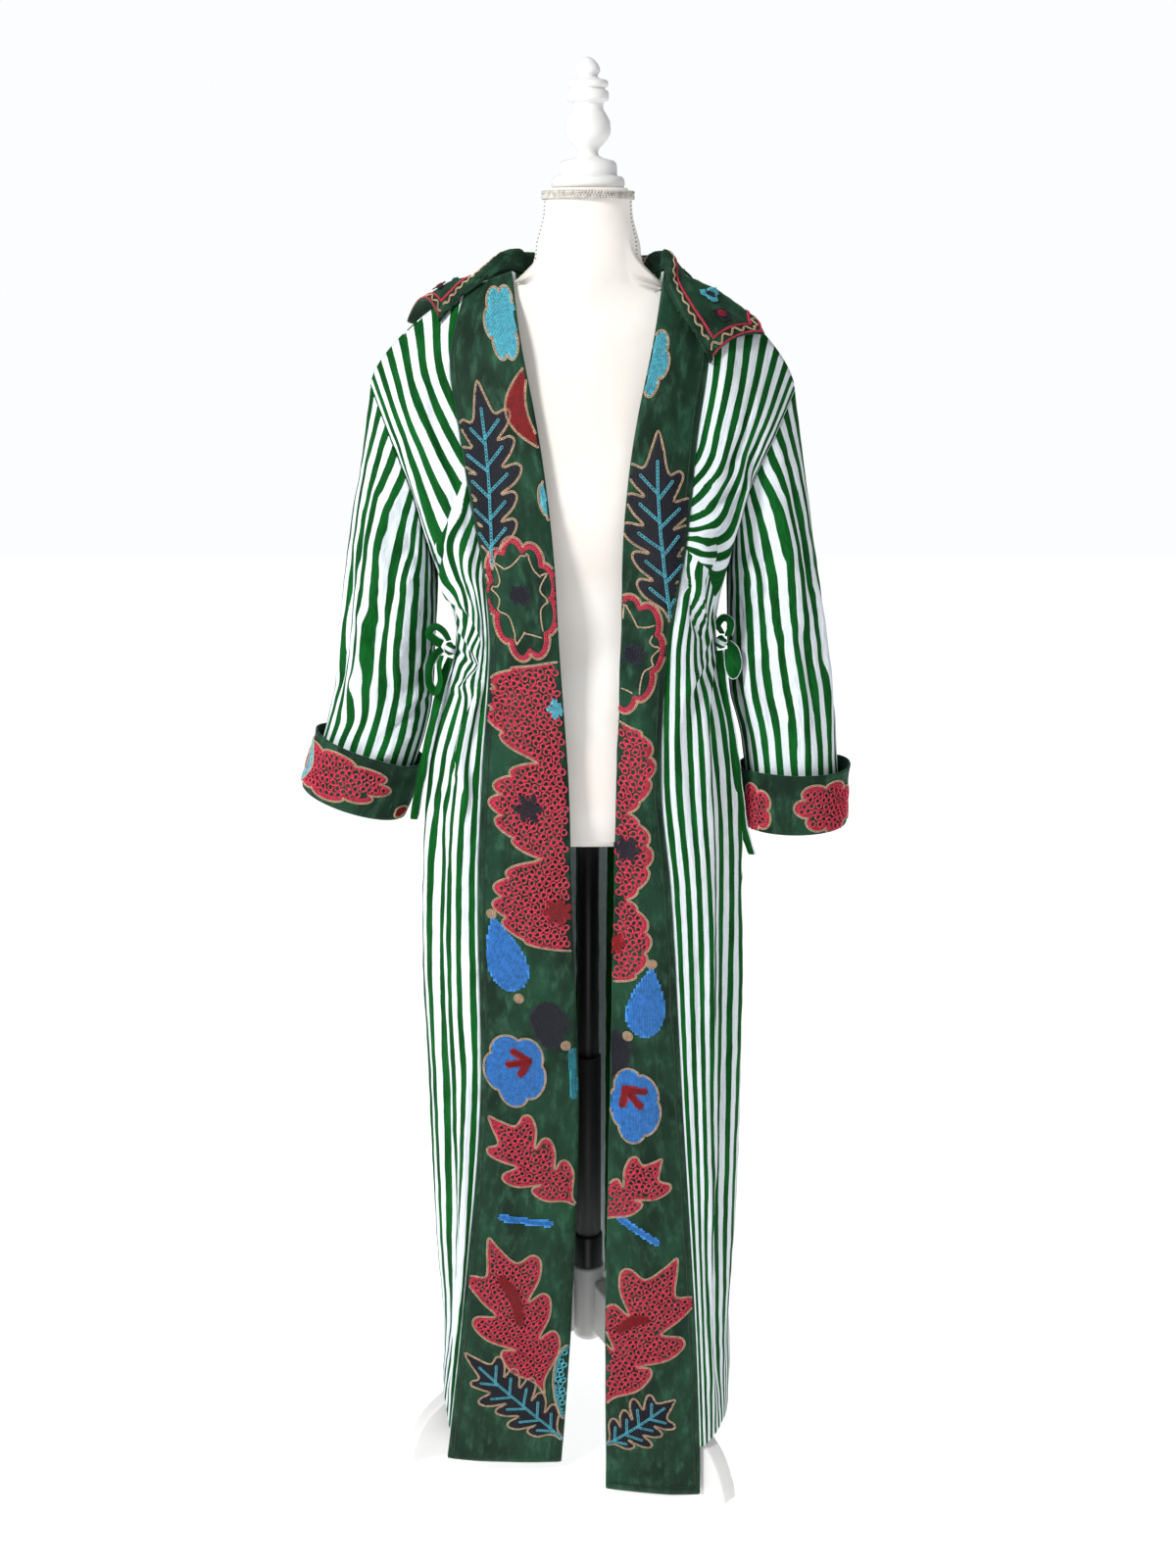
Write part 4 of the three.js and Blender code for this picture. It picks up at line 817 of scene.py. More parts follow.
def front_layers(side, level, across):
    """Two runs of the stripes and how far the place is above the tuck that parts them."""
    if side == "right":
        line = np.interp(across, [0, 0.75, 1], [1.38, 1.05, 0.98])
    else:
        line = np.interp(across, [0, 0.3, 0.6, 1], [1.08, 1.01, 0.955, 0.93])
    z = read(FRONTS[side][0], "seamZ", level)
    above = (level - line) * TUCK_SCALE
    return {
        "cloth": (cloth_run(side, "upper", level, across), z),
        "under": (cloth_run(side, "lower", level, across), above),
    }


# ---- materials
def shader(name, fill):
    """A material with a Principled shader; fill(nodes, links, principled) adds the rest."""
    made = bpy.data.materials.new(name)
    made.use_nodes = True
    tree = made.node_tree
    fill(Nodes(tree), tree.nodes["Principled BSDF"])
    return made


class Nodes:
    """Short ways to add shader nodes and join them."""

    def __init__(self, tree):
        self.tree = tree

    def join(self, source, socket):
        if isinstance(source, (int, float)):
            socket.default_value = source
        elif isinstance(source, tuple):
            socket.default_value = source if len(source) == len(socket.default_value) else (*source, 1)
        else:
            self.tree.links.new(source, socket)

    def math(self, kind, *values, clamp=False):
        node = self.tree.nodes.new("ShaderNodeMath")
        node.operation, node.use_clamp = kind, clamp
        for i, value in enumerate(values):
            self.join(value, node.inputs[i])
        return node.outputs[0]

    def plus(self, a, b):
        return self.math("ADD", a, b)

    def minus(self, a, b):
        return self.math("SUBTRACT", a, b)

    def times(self, a, b):
        return self.math("MULTIPLY", a, b)

    def uv(self, name):
        node = self.tree.nodes.new("ShaderNodeUVMap")
        node.uv_map = name
        return node.outputs[0]

    def place(self):
        return self.tree.nodes.new("ShaderNodeTexCoord").outputs["Object"]

    def split(self, vector):
        node = self.tree.nodes.new("ShaderNodeSeparateXYZ")
        self.join(vector, node.inputs[0])
        return node.outputs

    def scaled(self, vector, scale):
        node = self.tree.nodes.new("ShaderNodeMapping")
        self.join(vector, node.inputs["Vector"])
        node.inputs["Scale"].default_value = scale
        return node.outputs[0]

    def noise(self, vector, scale, detail=2.0, rough=0.5):
        node = self.tree.nodes.new("ShaderNodeTexNoise")
        self.join(vector, node.inputs["Vector"])
        node.inputs["Scale"].default_value = scale
        node.inputs["Detail"].default_value = detail
        node.inputs["Roughness"].default_value = rough
        return node.outputs[0]

    def grain(self, at, across, along, detail, rough=0.5):
        """Noise with a size of its own across and along the cloth."""
        return self.noise(self.scaled(at, (across, along, 1)), 1.0, detail, rough)

    def ramp(self, value, low_at, high_at, low_to=0.0, high_to=1.0):
        node = self.tree.nodes.new("ShaderNodeMapRange")
        node.interpolation_type = "SMOOTHSTEP"
        for i, item in enumerate((value, low_at, high_at, low_to, high_to)):
            self.join(item, node.inputs[i])
        return node.outputs[0]

    def blend(self, share, a, b, kind="MIX"):
        node = self.tree.nodes.new("ShaderNodeMix")
        node.data_type, node.blend_type = "RGBA", kind
        self.join(share, node.inputs["Factor"])
        self.join(a, node.inputs[6])
        self.join(b, node.inputs[7])
        return node.outputs[2]

    def bump(self, height, distance, strength=1.0, normal=None):
        node = self.tree.nodes.new("ShaderNodeBump")
        node.inputs["Distance"].default_value = distance
        node.inputs["Strength"].default_value = strength
        self.join(height, node.inputs["Height"])
        if normal is not None:
            self.join(normal, node.inputs["Normal"])
        return node.outputs[0]


def set_inputs(bsdf, **values):
    """Sets inputs of a shader. An underscore in a name stands for a space."""
    for name, value in values.items():
        bsdf.inputs[name.replace("_", " ")].default_value = value


def srgb(r, g, b):
    return tuple(((c / 255 + 0.055) / 1.055) ** 2.4 if c > 10 else c / 255 / 12.92 for c in (r, g, b))


GREEN, WHITE = srgb(18, 96, 42), srgb(226, 234, 238)


def fill_stripes(n, bsdf):
    upper = n.split(n.uv("cloth"))
    lower = n.split(n.uv("under"))
    above = n.math("GREATER_THAN", lower[1], 0.0)
    below = n.minus(1.0, above)
    run = n.plus(n.times(upper[0], above), n.times(lower[0], below))
    join = n.tree.nodes.new("ShaderNodeCombineXYZ")
    n.join(run, join.inputs[0])
    n.join(upper[1], join.inputs[1])
    at = join.outputs[0]
    wobble = n.minus(n.grain(at, 60, 22, 2.0), 0.5)
    fringe = n.minus(n.grain(at, 200, 900, 1.0), 0.5)
    shift = n.plus(n.times(wobble, 0.0032), n.times(fringe, 0.0009))
    moved = n.plus(run, shift)
    turn = n.math("FRACT", n.math("DIVIDE", moved, STRIPE * MM))
    away = n.math("ABSOLUTE", n.minus(turn, 0.5))
    green = n.ramp(away, 0.243, 0.265, 1.0, 0.0)
    slub = n.grain(at, 1400, 60, 3.0)
    cross = n.grain(at, 60, 1500, 3.0)
    dye = n.grain(at, 40, 14, 2.0)
    green_shade = n.blend(n.ramp(dye, 0.3, 0.75), srgb(0, 58, 14), srgb(8, 90, 30))
    green_shade = n.blend(n.ramp(slub, 0.35, 0.8, 0.0, 0.45), green_shade, srgb(30, 116, 54))
    white_shade = n.blend(n.ramp(slub, 0.3, 0.75), srgb(212, 222, 228), srgb(240, 246, 250))
    white_shade = n.blend(n.ramp(cross, 0.55, 0.85, 0.0, 0.35), white_shade, srgb(188, 204, 200))
    n.join(n.blend(green, white_shade, green_shade), bsdf.inputs["Base Color"])
    set_inputs(bsdf, Roughness=0.82, Specular_IOR_Level=0.1)
    crinkle = n.grain(at, 150, 26, 3.0, 0.6)
    first = n.bump(crinkle, 0.0030, 0.7)
    weave = n.plus(n.times(slub, 0.6), n.times(cross, 0.4))
    n.join(n.bump(weave, 0.0003, 0.5, first), bsdf.inputs["Normal"])


def fill_velvet(n, bsdf):
    at = n.uv("cloth")
    parts = n.split(at)
    patches = n.grain(at, 16, 9, 4.0, 0.6)
    # painted highlight: the lighter patches stand for crushed pile catching the light
    crushed_pile_highlight = n.grain(at, 90, 34, 4.0, 0.65)
    shade = n.blend(n.ramp(patches, 0.35, 0.7), srgb(7, 32, 20), srgb(24, 66, 44))
    shade = n.blend(n.ramp(crushed_pile_highlight, 0.45, 0.85, 0.0, 0.75), shade, srgb(62, 108, 82))
    n.join(shade, bsdf.inputs["Base Color"])
    set_inputs(bsdf, Roughness=0.72, Specular_IOR_Level=0.2)
    set_inputs(bsdf, Sheen_Weight=0.3, Sheen_Roughness=0.4, Sheen_Tint=(*srgb(130, 190, 150), 1))
    nap = n.grain(at, 2600, 1600, 1.0)
    stitched = n.math("ABSOLUTE", n.minus(parts[0], 0.0075))
    groove = n.ramp(stitched, 0.0, 0.0011)
    soft = n.bump(n.grain(at, 70, 30, 3.0), 0.0022, 0.5)
    lined = n.bump(groove, 0.0010, 0.6, soft)
    n.join(n.bump(nap, 0.0003, 0.4, lined), bsdf.inputs["Normal"])


def fill_plain(color, rough, bump_scale=0.0, bump_size=0.0, specular=0.5, mottled=0.0):
    def fill(n, bsdf):
        at = n.place()
        if mottled:
            dark = tuple(c * (1 - mottled) for c in color)
            share = n.ramp(n.noise(at, 26.0, 4.0, 0.6), 0.3, 0.75)
            n.join(n.blend(share, dark, color), bsdf.inputs["Base Color"])
        else:
            set_inputs(bsdf, Base_Color=(*color, 1))
        set_inputs(bsdf, Roughness=rough, Specular_IOR_Level=specular)
        if bump_size:
            n.join(n.bump(n.noise(at, bump_scale, 2.0), bump_size, 0.6), bsdf.inputs["Normal"])

    return fill


CANVAS_GLOW = 0.14  # a little light of its own keeps the pale cover pale


def fill_canvas(n, bsdf):
    at = n.place()
    parts = n.split(at)
    weft = n.math("SINE", n.times(parts[2], 5200.0))
    warp = n.math("SINE", n.times(n.plus(parts[0], parts[1]), 5200.0))
    broad = n.noise(at, 7.0, 3.0)
    shade = n.blend(n.ramp(broad, 0.35, 0.75), srgb(226, 220, 212), srgb(246, 244, 240))
    n.join(shade, bsdf.inputs["Base Color"])
    set_inputs(bsdf, Emission_Color=(1, 0.97, 0.93, 1), Emission_Strength=CANVAS_GLOW)
    set_inputs(bsdf, Roughness=0.85, Specular_IOR_Level=0.2)
    n.join(n.bump(n.times(weft, warp), 0.00012, 0.35), bsdf.inputs["Normal"])


STRIPED = shader("striped_cotton_cloth", fill_stripes)
VELVET_CLOTH = shader("green_velvet_pile", fill_velvet)
# near-black inside of the bands: partly a dark lining cloth, partly painted shade of the coat's shadowed
# inside
LINING_PAINTED_SHADE = shader("dark_lining_painted_shade", fill_plain(srgb(16, 30, 22), 0.85, 900, 0.0003, 0.2, 0.2))
CANVAS = shader("form_canvas_cover", fill_canvas)
PAINT = shader("white_paint", fill_plain(srgb(238, 238, 236), 0.38, 90, 0.0003, 0.45, 0.04))
STEEL = shader("black_painted_steel", fill_plain(srgb(16, 16, 17), 0.4, 300, 0.0001, 0.5))
DULL_STEEL = shader("grey_painted_steel", fill_plain(srgb(44, 44, 46), 0.5, 300, 0.0001, 0.5))


# ---- the coat's panels
def band_place(side):
    def place(u, v):
        level = level_at(v, BAND_HEM)
        # both edges roll down to the seam and to the folded front edge
        rim = smooth(u / 0.035) * smooth((1 - u) / 0.03)
        ends = smooth((v + 0.002) / 0.004)
        lift = 1.2 * rim * ends * smooth((1 - v) / 0.02) - 0.5 * (1 - smooth(u / 0.02))
        return coat_point(side, level, u * BAND_COLS, lift)

    return place


def band_width(side, v):
    level = level_at(v, BAND_HEM)
    return np.linalg.norm(corner(side, "edge", level) - corner(side, "seam", level), axis=-1)


PATCHES, PANELS = {}, {}
CREASE_PULL = 0.7  # how much of a crease's depth shifts the stripes
SLEEVE_RUN = 21 * STRIPE
CUFF_ROUND = 360.0
STRIPED_SIDES, VELVET_SIDES = [STRIPED, STRIPED], [VELVET_CLOTH, VELVET_CLOTH]  # outside and inside


def panel_piece(key, cloth, patch, layers, wall, materials):
    """A panel of the coat: its surface, the piece that shows and the piece's wall."""
    PATCHES[key] = patch
    PANELS[key] = put(cloth + "_" + key, patch.mesh(key, layers), materials)
    thicken(PANELS[key], wall)


def whole_turn(u):
    return u * 2 * math.pi


for side in SIDES:
    flip = side == "right"
    band = Patch(band_place(side), 260, 34, flip)
    band_z = read(FRONTS[side][0], "seamZ", level_at(band.v, BAND_HEM))
    layers = {"cloth": ((1 - band.u) * band_width(side, band.v), band_z)}
    panel_piece("band_" + side, "velvet", band, layers, VELVET, [VELVET_CLOTH, LINING_PAINTED_SHADE])

    def front_place(u, v, side=side):
        return coat_point(side, level_at(v, 0), BAND_COLS + u * FRONT_COLS)

    front = Patch(front_place, 260, 48, flip)
    pull = CREASE_PULL * panel_creases(side, level_at(front.v, 0), BAND_COLS + front.u * FRONT_COLS)
    runs = front_layers(side, level_at(front.v, 0), front.u)
    layers = {name: (run + pull, height) for name, (run, height) in runs.items()}
    panel_piece("front_" + side, "striped", front, layers, COTTON, STRIPED_SIDES)

back = Patch(lambda u, v: coat_point("back", level_at(v, 0), (2 * u - 1) * HALF_BACK), 210, 108, True)
half_width = np.interp(level_at(back.v, 0), [0.93, 1.0, 1.5, 2.0], [280, 265, 250, 235])
back_run = (2 * back.u - 1) * half_width
back_z = read(BACK, "z", level_at(back.v, 0))
layers = {"cloth": (back_run, back_z), "under": (back_run, np.ones(back_run.shape))}
panel_piece("back", "striped", back, layers, COTTON, STRIPED_SIDES)

for side in SIDES:
    flip = side == "right"
    arm = Patch(lambda u, v, side=side: sleeve_point(side, v, whole_turn(u)), 100, 84, flip, closed=True)
    arm_run = arm.u * SLEEVE_RUN + 4 + CREASE_PULL * sleeve_fold(side, arm.v, whole_turn(arm.u))
    layers = {"cloth": (arm_run, arm.v * SLEEVE_TALL), "under": (arm_run, np.ones(arm.u.shape))}
    panel_piece("sleeve_" + side, "striped", arm, layers, COTTON, STRIPED_SIDES)

    def cuff_place(u, v, side=side):
        return cuff_point(side, v * CUFF_LENGTH, whole_turn(u))

    # the cuff's run goes up the inside and down the outside, so its rows turn the other way
    turned = Patch(cuff_place, 36, 90, not flip, closed=True)
    layers = {"cloth": (turned.u * CUFF_ROUND + 20, turned.v * CUFF_LENGTH)}
    panel_piece("cuff_" + side, "velvet", turned, layers, VELVET, VELVET_SIDES)

# ---- what lies on the coat keeps off it
body_points, body_faces = [], []
for name in ("band_right", "front_right", "back", "front_left", "band_left"):
    mesh = PANELS[name].data
    first = len(body_points)
    body_points += [tuple(v.co) for v in mesh.vertices]
    body_faces += [[first + i for i in p.vertices] for p in mesh.polygons]
BODY = BVHTree.FromPolygons(body_points, body_faces)


def nearest_cloth(point):
    """Nearest place on the coat's outside, the way out there and the height over it, in millimetres."""
    where = Vector(point) * MM + Vector(POLE)
    place, out, _, _ = BODY.find_nearest(where)
    height = (where - place).dot(out)
    gap = (where - place).length
    near = (np.array(place) - POLE) / MM
    return near, np.array(out), (gap if height >= 0 else -gap) / MM


def over_cloth(points, height):
    made = np.array(points, float)
    for i, point in enumerate(made):
        near, out, over = nearest_cloth(point)
        if over < height:
            made[i] = near + out * height
    return made


def under_cloth(points, depth, chosen):
    made = np.array(points, float)
    for i, point in enumerate(made):
        if chosen[i]:
            near, out, over = nearest_cloth(point)
            # beside the cloth's edge nothing presses on the form
            if over > -depth and abs((point - near) @ out) > 0.7 * abs(over):
                made[i] = near - out * depth
    return made


# ---- collar
COLLAR = table(
    ["along", "innerX", "innerY", "innerZ", "outerX", "outerY", "outerZ", "fold"],
    [-1.00, -150, -22, 1303, -190, 40, 1304, 3],
    [-0.80, -128, -12, 1330, -172, 64, 1297, 5],
    [-0.60, -106, -6, 1347, -148, 82, 1290, 10],
    [-0.42, -84, 8, 1358, -114, 92, 1288, 18],
    [-0.22, -50, 40, 1352, -62, 100, 1284, 26],
    [0.00, 0, 57, 1345, 0, 102, 1281, 30],
    [0.22, 50, 40, 1352, 64, 100, 1284, 26],
    [0.42, 80, -4, 1358, 120, 88, 1289, 18],
    [0.60, 82, -28, 1336, 152, 58, 1300, 10],
    [0.80, 98, -48, 1300, 170, 18, 1309, 5],
    [1.00, 119, -60, 1265, 181, -14, 1293, 3],
)
STAND = 0.24  # share of the collar's rows that stand up at the neck
CROWN_RIGHT, CROWN_LEFT = 38, 16  # how far the middle of the fall is raised on each side
COLLAR_TALL, COLLAR_LONG = 95, 560


def collar_place(u, v):
    along = 2 * u[0] - 1
    get = lambda name: read(COLLAR, name, along)
    seam = over_cloth(np.stack([get("innerX"), get("innerY"), get("innerZ")], -1), 1.5)
    edge = over_cloth(np.stack([get("outerX"), get("outerY"), get("outerZ")], -1), 1.5)
    fold = get("fold")
    top = seam + np.stack([0 * fold, 0 * fold, fold], -1)
    way = (edge - seam) * np.array([1, 1, 0])
    top = top + unit(way) * (1.5 + 0.12 * fold)[..., None]
    middle = mix(top, edge, np.full(fold.shape, 0.45))
    rise = 4 + 0.25 * fold + CROWN_RIGHT * smooth((-0.45 - along) / 0.35)
    middle[:, 2] += rise + CROWN_LEFT * smooth((along - 0.3) / 0.25)
    made = []
    for share in v[:, 0]:
        if share < STAND:
            made.append(mix(seam, top, np.full(fold.shape, share / STAND)))
        else:
            t = (share - STAND) / (1 - STAND)
            made.append((1 - t) ** 2 * top + 2 * t * (1 - t) * middle + t * t * edge)
    made = np.array(made)
    # a soft waviness of the fall
    t = np.clip((v - STAND) / (1 - STAND), 0, 1)
    made[..., 2] += 1.2 * np.sin(t * math.pi) * uneven(u * 400, v * 70, 34, 2.2)
    rows, cols = u.shape
    height = np.where((v > STAND) & (v < 0.97), 2.4, 1.5)
    for turn in range(3):  # lift it off the coat, and even out what the lifting left uneven
        flat = made.reshape(-1, 3)
        for i, high in enumerate(height.ravel()):
            near, out, over = nearest_cloth(flat[i])
            if over < high:
                flat[i] = near + out * (high + 0.3)
        made = flat.reshape(rows, cols, 3)
        if turn < 2:
            inner = (made[:-2, 1:-1] + made[2:, 1:-1] + made[1:-1, :-2] + made[1:-1, 2:]) / 4
            made[1:-1, 1:-1] = 0.5 * made[1:-1, 1:-1] + 0.5 * inner
    return made


collar = Patch(collar_place, 34, 150, False)
if collar.out[-1, collar.cols // 2][1] < 0:
    collar.flip = True
    collar.out = -collar.out
collar.places = collar.places + collar.out * COLLAR_WALL
layers = {"cloth": (collar.v * COLLAR_TALL + 30, collar.u * COLLAR_LONG)}
panel_piece("collar", "velvet", collar, layers, COLLAR_WALL, VELVET_SIDES)


# ---- ties
KNOTS = {"right": (-146, -60, 976), "left": (140, -66, 982)}
STRAPS = {
    "tie_right_loop": [(-1, 0, 8.9), (-7, -2, 19), (-15, -4, 24), (-21, -4, 17), (-14, -2, 9), (-8, 0, 5.2)],
    "tie_right_bow": [
        (-8, -2, 0), (-15, -7, -6), (-21, -11, -18), (-21, -14, -34),
        (-15, -15, -43), (-10, -14, -33), (-11, -11, -16), (-9, -6, -6.5),
    ],
    "tie_right_tail": [(1, -2, -9.6), (-9, -8, -40), (-22, -10, -92), (-33, -6, -140), (-42, -2, -186)],
    "tie_left_loop": [(1, 0, 9.4), (-4, -3, 19), (2, -6, 27), (10, -4, 21), (7.6, 0, 6.5)],
    "tie_left_bow": [(7.3, 0, 0), (15, -3, -8), (18, -6, -24), (13, -8, -34), (8.5, -7, -24), (7.6, -2, -7)],
    "tie_left_tail": [
        (-1, 0, -9), (4, -3, -52), (14, -5, -105), (22, -2, -160), (29, 8, -206), (40, 24, -240),
    ],
}


def knot_centre(side):
    near, out, _ = nearest_cloth(np.array(KNOTS[side], float))
    return near + out * 7.5


def strap_mesh(name, path, wide):
    """A narrow tube of cloth pressed flat, along a path, with a soft twist."""
    line = curve_points(path, 10)
    way = unit(np.gradient(line, axis=0))
    across = unit(np.asarray(wide, float) - way * (way @ np.asarray(wide, float))[:, None])
    run = run_along(line)
    twist = 0.35 * np.sin(run * 0.035 + len(path)) + (0.0 if abs(wide[0]) else 0.95)
    flat_way = np.cross(way, across)
    a = across * np.cos(twist)[:, None] + flat_way * np.sin(twist)[:, None]
    b = -across * np.sin(twist)[:, None] + flat_way * np.cos(twist)[:, None]
    sides = 14
    turn = np.arange(sides) / sides * 2 * math.pi
    bm = bmesh.new()
    layer = bm.loops.layers.uv.new("cloth")
    under = bm.loops.layers.uv.new("under")
    rings = []
    for i, spot in enumerate(line):
        pinch = 0.8 + 0.2 * min(1, run[i] / 12) * min(1, (run[-1] - run[i]) / 6 + 0.4)
        half = 5.0 * pinch + 0.25 * math.sin(run[i] * 0.16)
        thick = 1.4 + 0.2 * math.sin(run[i] * 0.11 + 1)
        ring = []
        for t in turn:
            # the middle of the strap is a little hollow, where the seam runs
            edge = math.sin(t) * (thick - 0.4 * math.sin(t) ** 2)
            p = spot + a[i] * half * math.cos(t) + b[i] * edge
            ring.append(bm.verts.new(tuple(p * MM + POLE)))
        rings.append(ring)
    for i in range(len(rings) - 1):
        for k in range(sides):
            j = (k + 1) % sides
            face = bm.faces.new((rings[i][k], rings[i][j], rings[i + 1][j], rings[i + 1][k]))
            for loop, (kk, rr) in zip(face.loops, ((k, i), (k + 1, i), (k + 1, i + 1), (k, i + 1))):
                loop[layer].uv = ((3.2 + kk / sides * 13) * MM, run[rr] * MM)
                loop[under].uv = (0, 1)
    for ring in (rings[0], rings[-1]):
        bm.faces.new(ring if ring is rings[0] else list(reversed(ring)))
    bmesh.ops.recalc_face_normals(bm, faces=bm.faces)
    return finished(bm, name)


def knot_mesh(name, side):
    """A small firm knot: a ball wrapped by turns of the strap."""
    centre = knot_centre(side)
    bm = bmesh.new()
    bmesh.ops.create_icosphere(bm, subdivisions=4, radius=1.0)
    layer = bm.loops.layers.uv.new("cloth")
    under = bm.loops.layers.uv.new("under")
    for vert in bm.verts:
        p = np.array(vert.co)
        wrap = math.sin(6.5 * p[2] + 1.6 * math.atan2(p[1], p[0]))
        size = 6.1 * (1 + 0.11 * wrap)
        vert.co = Vector((centre + p * size * np.array([0.95, 0.95, 1.12])) * MM + POLE)
    for face in bm.faces:
        for loop in face.loops:
            p = (np.array(loop.vert.co) - POLE) / MM - centre
            loop[layer].uv = ((p[2] * 2 + p[0]) * MM, p[1] * MM)
            loop[under].uv = (0, 1)
    return finished(bm, name)


TIES = {"right": [], "left": []}
for name, points in STRAPS.items():
    side = "right" if "right" in name else "left"
    start = knot_centre(side)
    wide = (1, 0, 0) if name.endswith("tail") else (0, 1, 0)
    path = [np.array(p, float) + start for p in points]
    piece = put("striped_" + name, strap_mesh(name, path, wide), [STRIPED])
    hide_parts(name)
    TIES[side].append(piece)
for side in SIDES:
    piece = put("striped_tie_%s_knot" % side, knot_mesh("knot_" + side, side), [STRIPED])
    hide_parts("tie_%s_knot" % side)
    TIES[side].append(piece)

# ---- the form
FORM = table(
    ["z", "half", "front", "back", "square"],
    [767, 146, 96, 92, 2.2],
    [800, 152, 102, 98, 2.2],
    [860, 155, 102, 98, 2.2],
    [930, 138, 94, 88, 2.2],
    [990, 120, 86, 80, 2.2],
    [1050, 126, 92, 84, 2.2],
    [1120, 138, 102, 88, 2.2],
    [1180, 148, 95, 88, 2.2],
    [1235, 160, 78, 70, 2.0],
    [1275, 170, 58, 52, 1.7],
    [1304, 162, 44, 40, 1.4],
    [1326, 132, 40, 29, 1.2],
    [1344, 80.6, 40, 28, 1.3],
    [1362, 58, 41, 42, 1.9],
    [1385, 53, 42, 44, 2.0],
    [1410, 46, 42, 43, 2.0],
    [1430, 44, 42, 42, 2.0],
    [1438, 40, 38, 38, 2.0],
)


FORM_SHARES, FORM_MARKS = [0, 0.62, 0.9, 1], [767, 1235, 1385, 1438]  # of its rows, and their heights


def form_place(u, v):
    z = np.interp(v, FORM_SHARES, FORM_MARKS)
    turn = u * 2 * math.pi
    power = 2 / read(FORM, "square", z)
    c, s = np.cos(turn), np.sin(turn)
    x = read(FORM, "half", z) * np.sign(c) * np.abs(c) ** power
    depth = np.where(s < 0, read(FORM, "front", z), read(FORM, "back", z))
    y = depth * np.sign(s) * np.abs(s) ** power
    points = np.stack([x, y, z], -1)
    rows, cols = u.shape
    flat = points.reshape(-1, 3)
    chosen = (np.abs(flat[:, 0]) > 45) & (flat[:, 2] > 1190) & (flat[:, 2] < 1364)
    moved = (under_cloth(flat, VELVET + 0.9, chosen) - flat).reshape(rows, cols, 3)
    for _ in range(12):  # spread each push evenly over its neighbours
        wide = moved.copy()
        wide[1:-1] = (moved[:-2] + 2 * moved[1:-1] + moved[2:]) / 4
        larger = np.linalg.norm(wide, axis=-1, keepdims=True) > np.linalg.norm(moved, axis=-1, keepdims=True)
        moved = np.where(larger, wide, moved)
    return points + moved


torso = Patch(form_place, 110, 96, False, closed=True)
if torso.out[40, 24][1] * torso.places[40, 24][1] < 0:
    torso.flip = True
mesh = torso.mesh("form_torso", {})
bm = bmesh.new()
bm.from_mesh(mesh)
edges = [e for e in bm.edges if e.is_boundary]
bmesh.ops.holes_fill(bm, edges=edges, sides=0)
bmesh.ops.recalc_face_normals(bm, faces=bm.faces)
bm.to_mesh(mesh)
bm.free()
TORSO = put("canvas_form_torso", mesh, [CANVAS])
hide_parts("form_torso")
sharp = [p for p in mesh.polygons if len(p.vertices) > 4]
for p in sharp:
    p.use_smooth = False

# ---- turned and bent wood, poles
CAP = [
    (36.5, 0.6), (37.4, 4), (37, 8), (35, 11), (30, 12), (29.5, 13), (29.5, 21), (28.6, 24), (26, 26.6),
    (16, 29), (11, 31.5), (10, 34.5), (11, 38), (15, 42), (19.5, 47), (22.4, 52), (23, 57), (22, 65),
    (18.5, 71), (15.6, 75.5), (15.2, 81), (16.5, 83.3), (20, 84), (20.9, 86), (20.9, 91.4), (19.6, 93.6),
    (17, 94.6), (17, 96), (19.4, 97.2), (20.3, 99), (20.3, 101.6), (18.6, 103.4), (12, 105), (9.2, 107),
    (10.4, 109), (12.2, 112), (12, 115), (9.6, 119), (6.4, 122.5), (3, 125), (0.01, 126),
]


def turned_mesh(name, profile, steps=64):
    """A profile of radius and height spun round the pole's axis."""
    bm = bmesh.new()
    verts = [bm.verts.new((r * MM, 0, z * MM)) for r, z in profile]
    for a, b in zip(verts, verts[1:]):
        bm.edges.new((a, b))
    geometry = bm.verts[:] + bm.edges[:]
    bmesh.ops.spin(
        bm, geom=geometry, cent=(0, 0, 0), axis=(0, 0, 1), angle=2 * math.pi, steps=steps, use_merge=True,
    )
    bmesh.ops.remove_doubles(bm, verts=bm.verts, dist=1e-6)
    bmesh.ops.recalc_face_normals(bm, faces=bm.faces)
    bmesh.ops.translate(bm, verts=bm.verts, vec=Vector(POLE))
    return finished(bm, name)


def sharp_profile(rows, roundness=0.5):
    """Doubles the corners of a profile, so that they stay crisp under smooth shading."""
    made = [rows[0]]
    for before, row, after in zip(rows, rows[1:], rows[2:]):
        for other in (before, after):
            gap = math.dist(row, other)
            share = min(0.45, roundness / max(gap, 1e-6))
            made.append((row[0] + (other[0] - row[0]) * share, row[1] + (other[1] - row[1]) * share))
    made.append(rows[-1])
    return made


CAP_BASE = 1438.3
profile = [(0.01, CAP_BASE)] + [(r, CAP_BASE + up - 0.3) for r, up in CAP]
stand_pieces = []


def stand_piece(name, mesh, material, *nodes):
    piece = put(name, mesh, [material])
    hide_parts(*nodes)
    stand_pieces.append(piece)
    return piece


def pole(name, radius, low_z, high_z, material, node):
    rows = [(0.01, low_z), (radius, low_z), (radius, high_z), (0.01, high_z)]
    return stand_piece(name, turned_mesh(name, sharp_profile(rows, 0.6), 48), material, node)


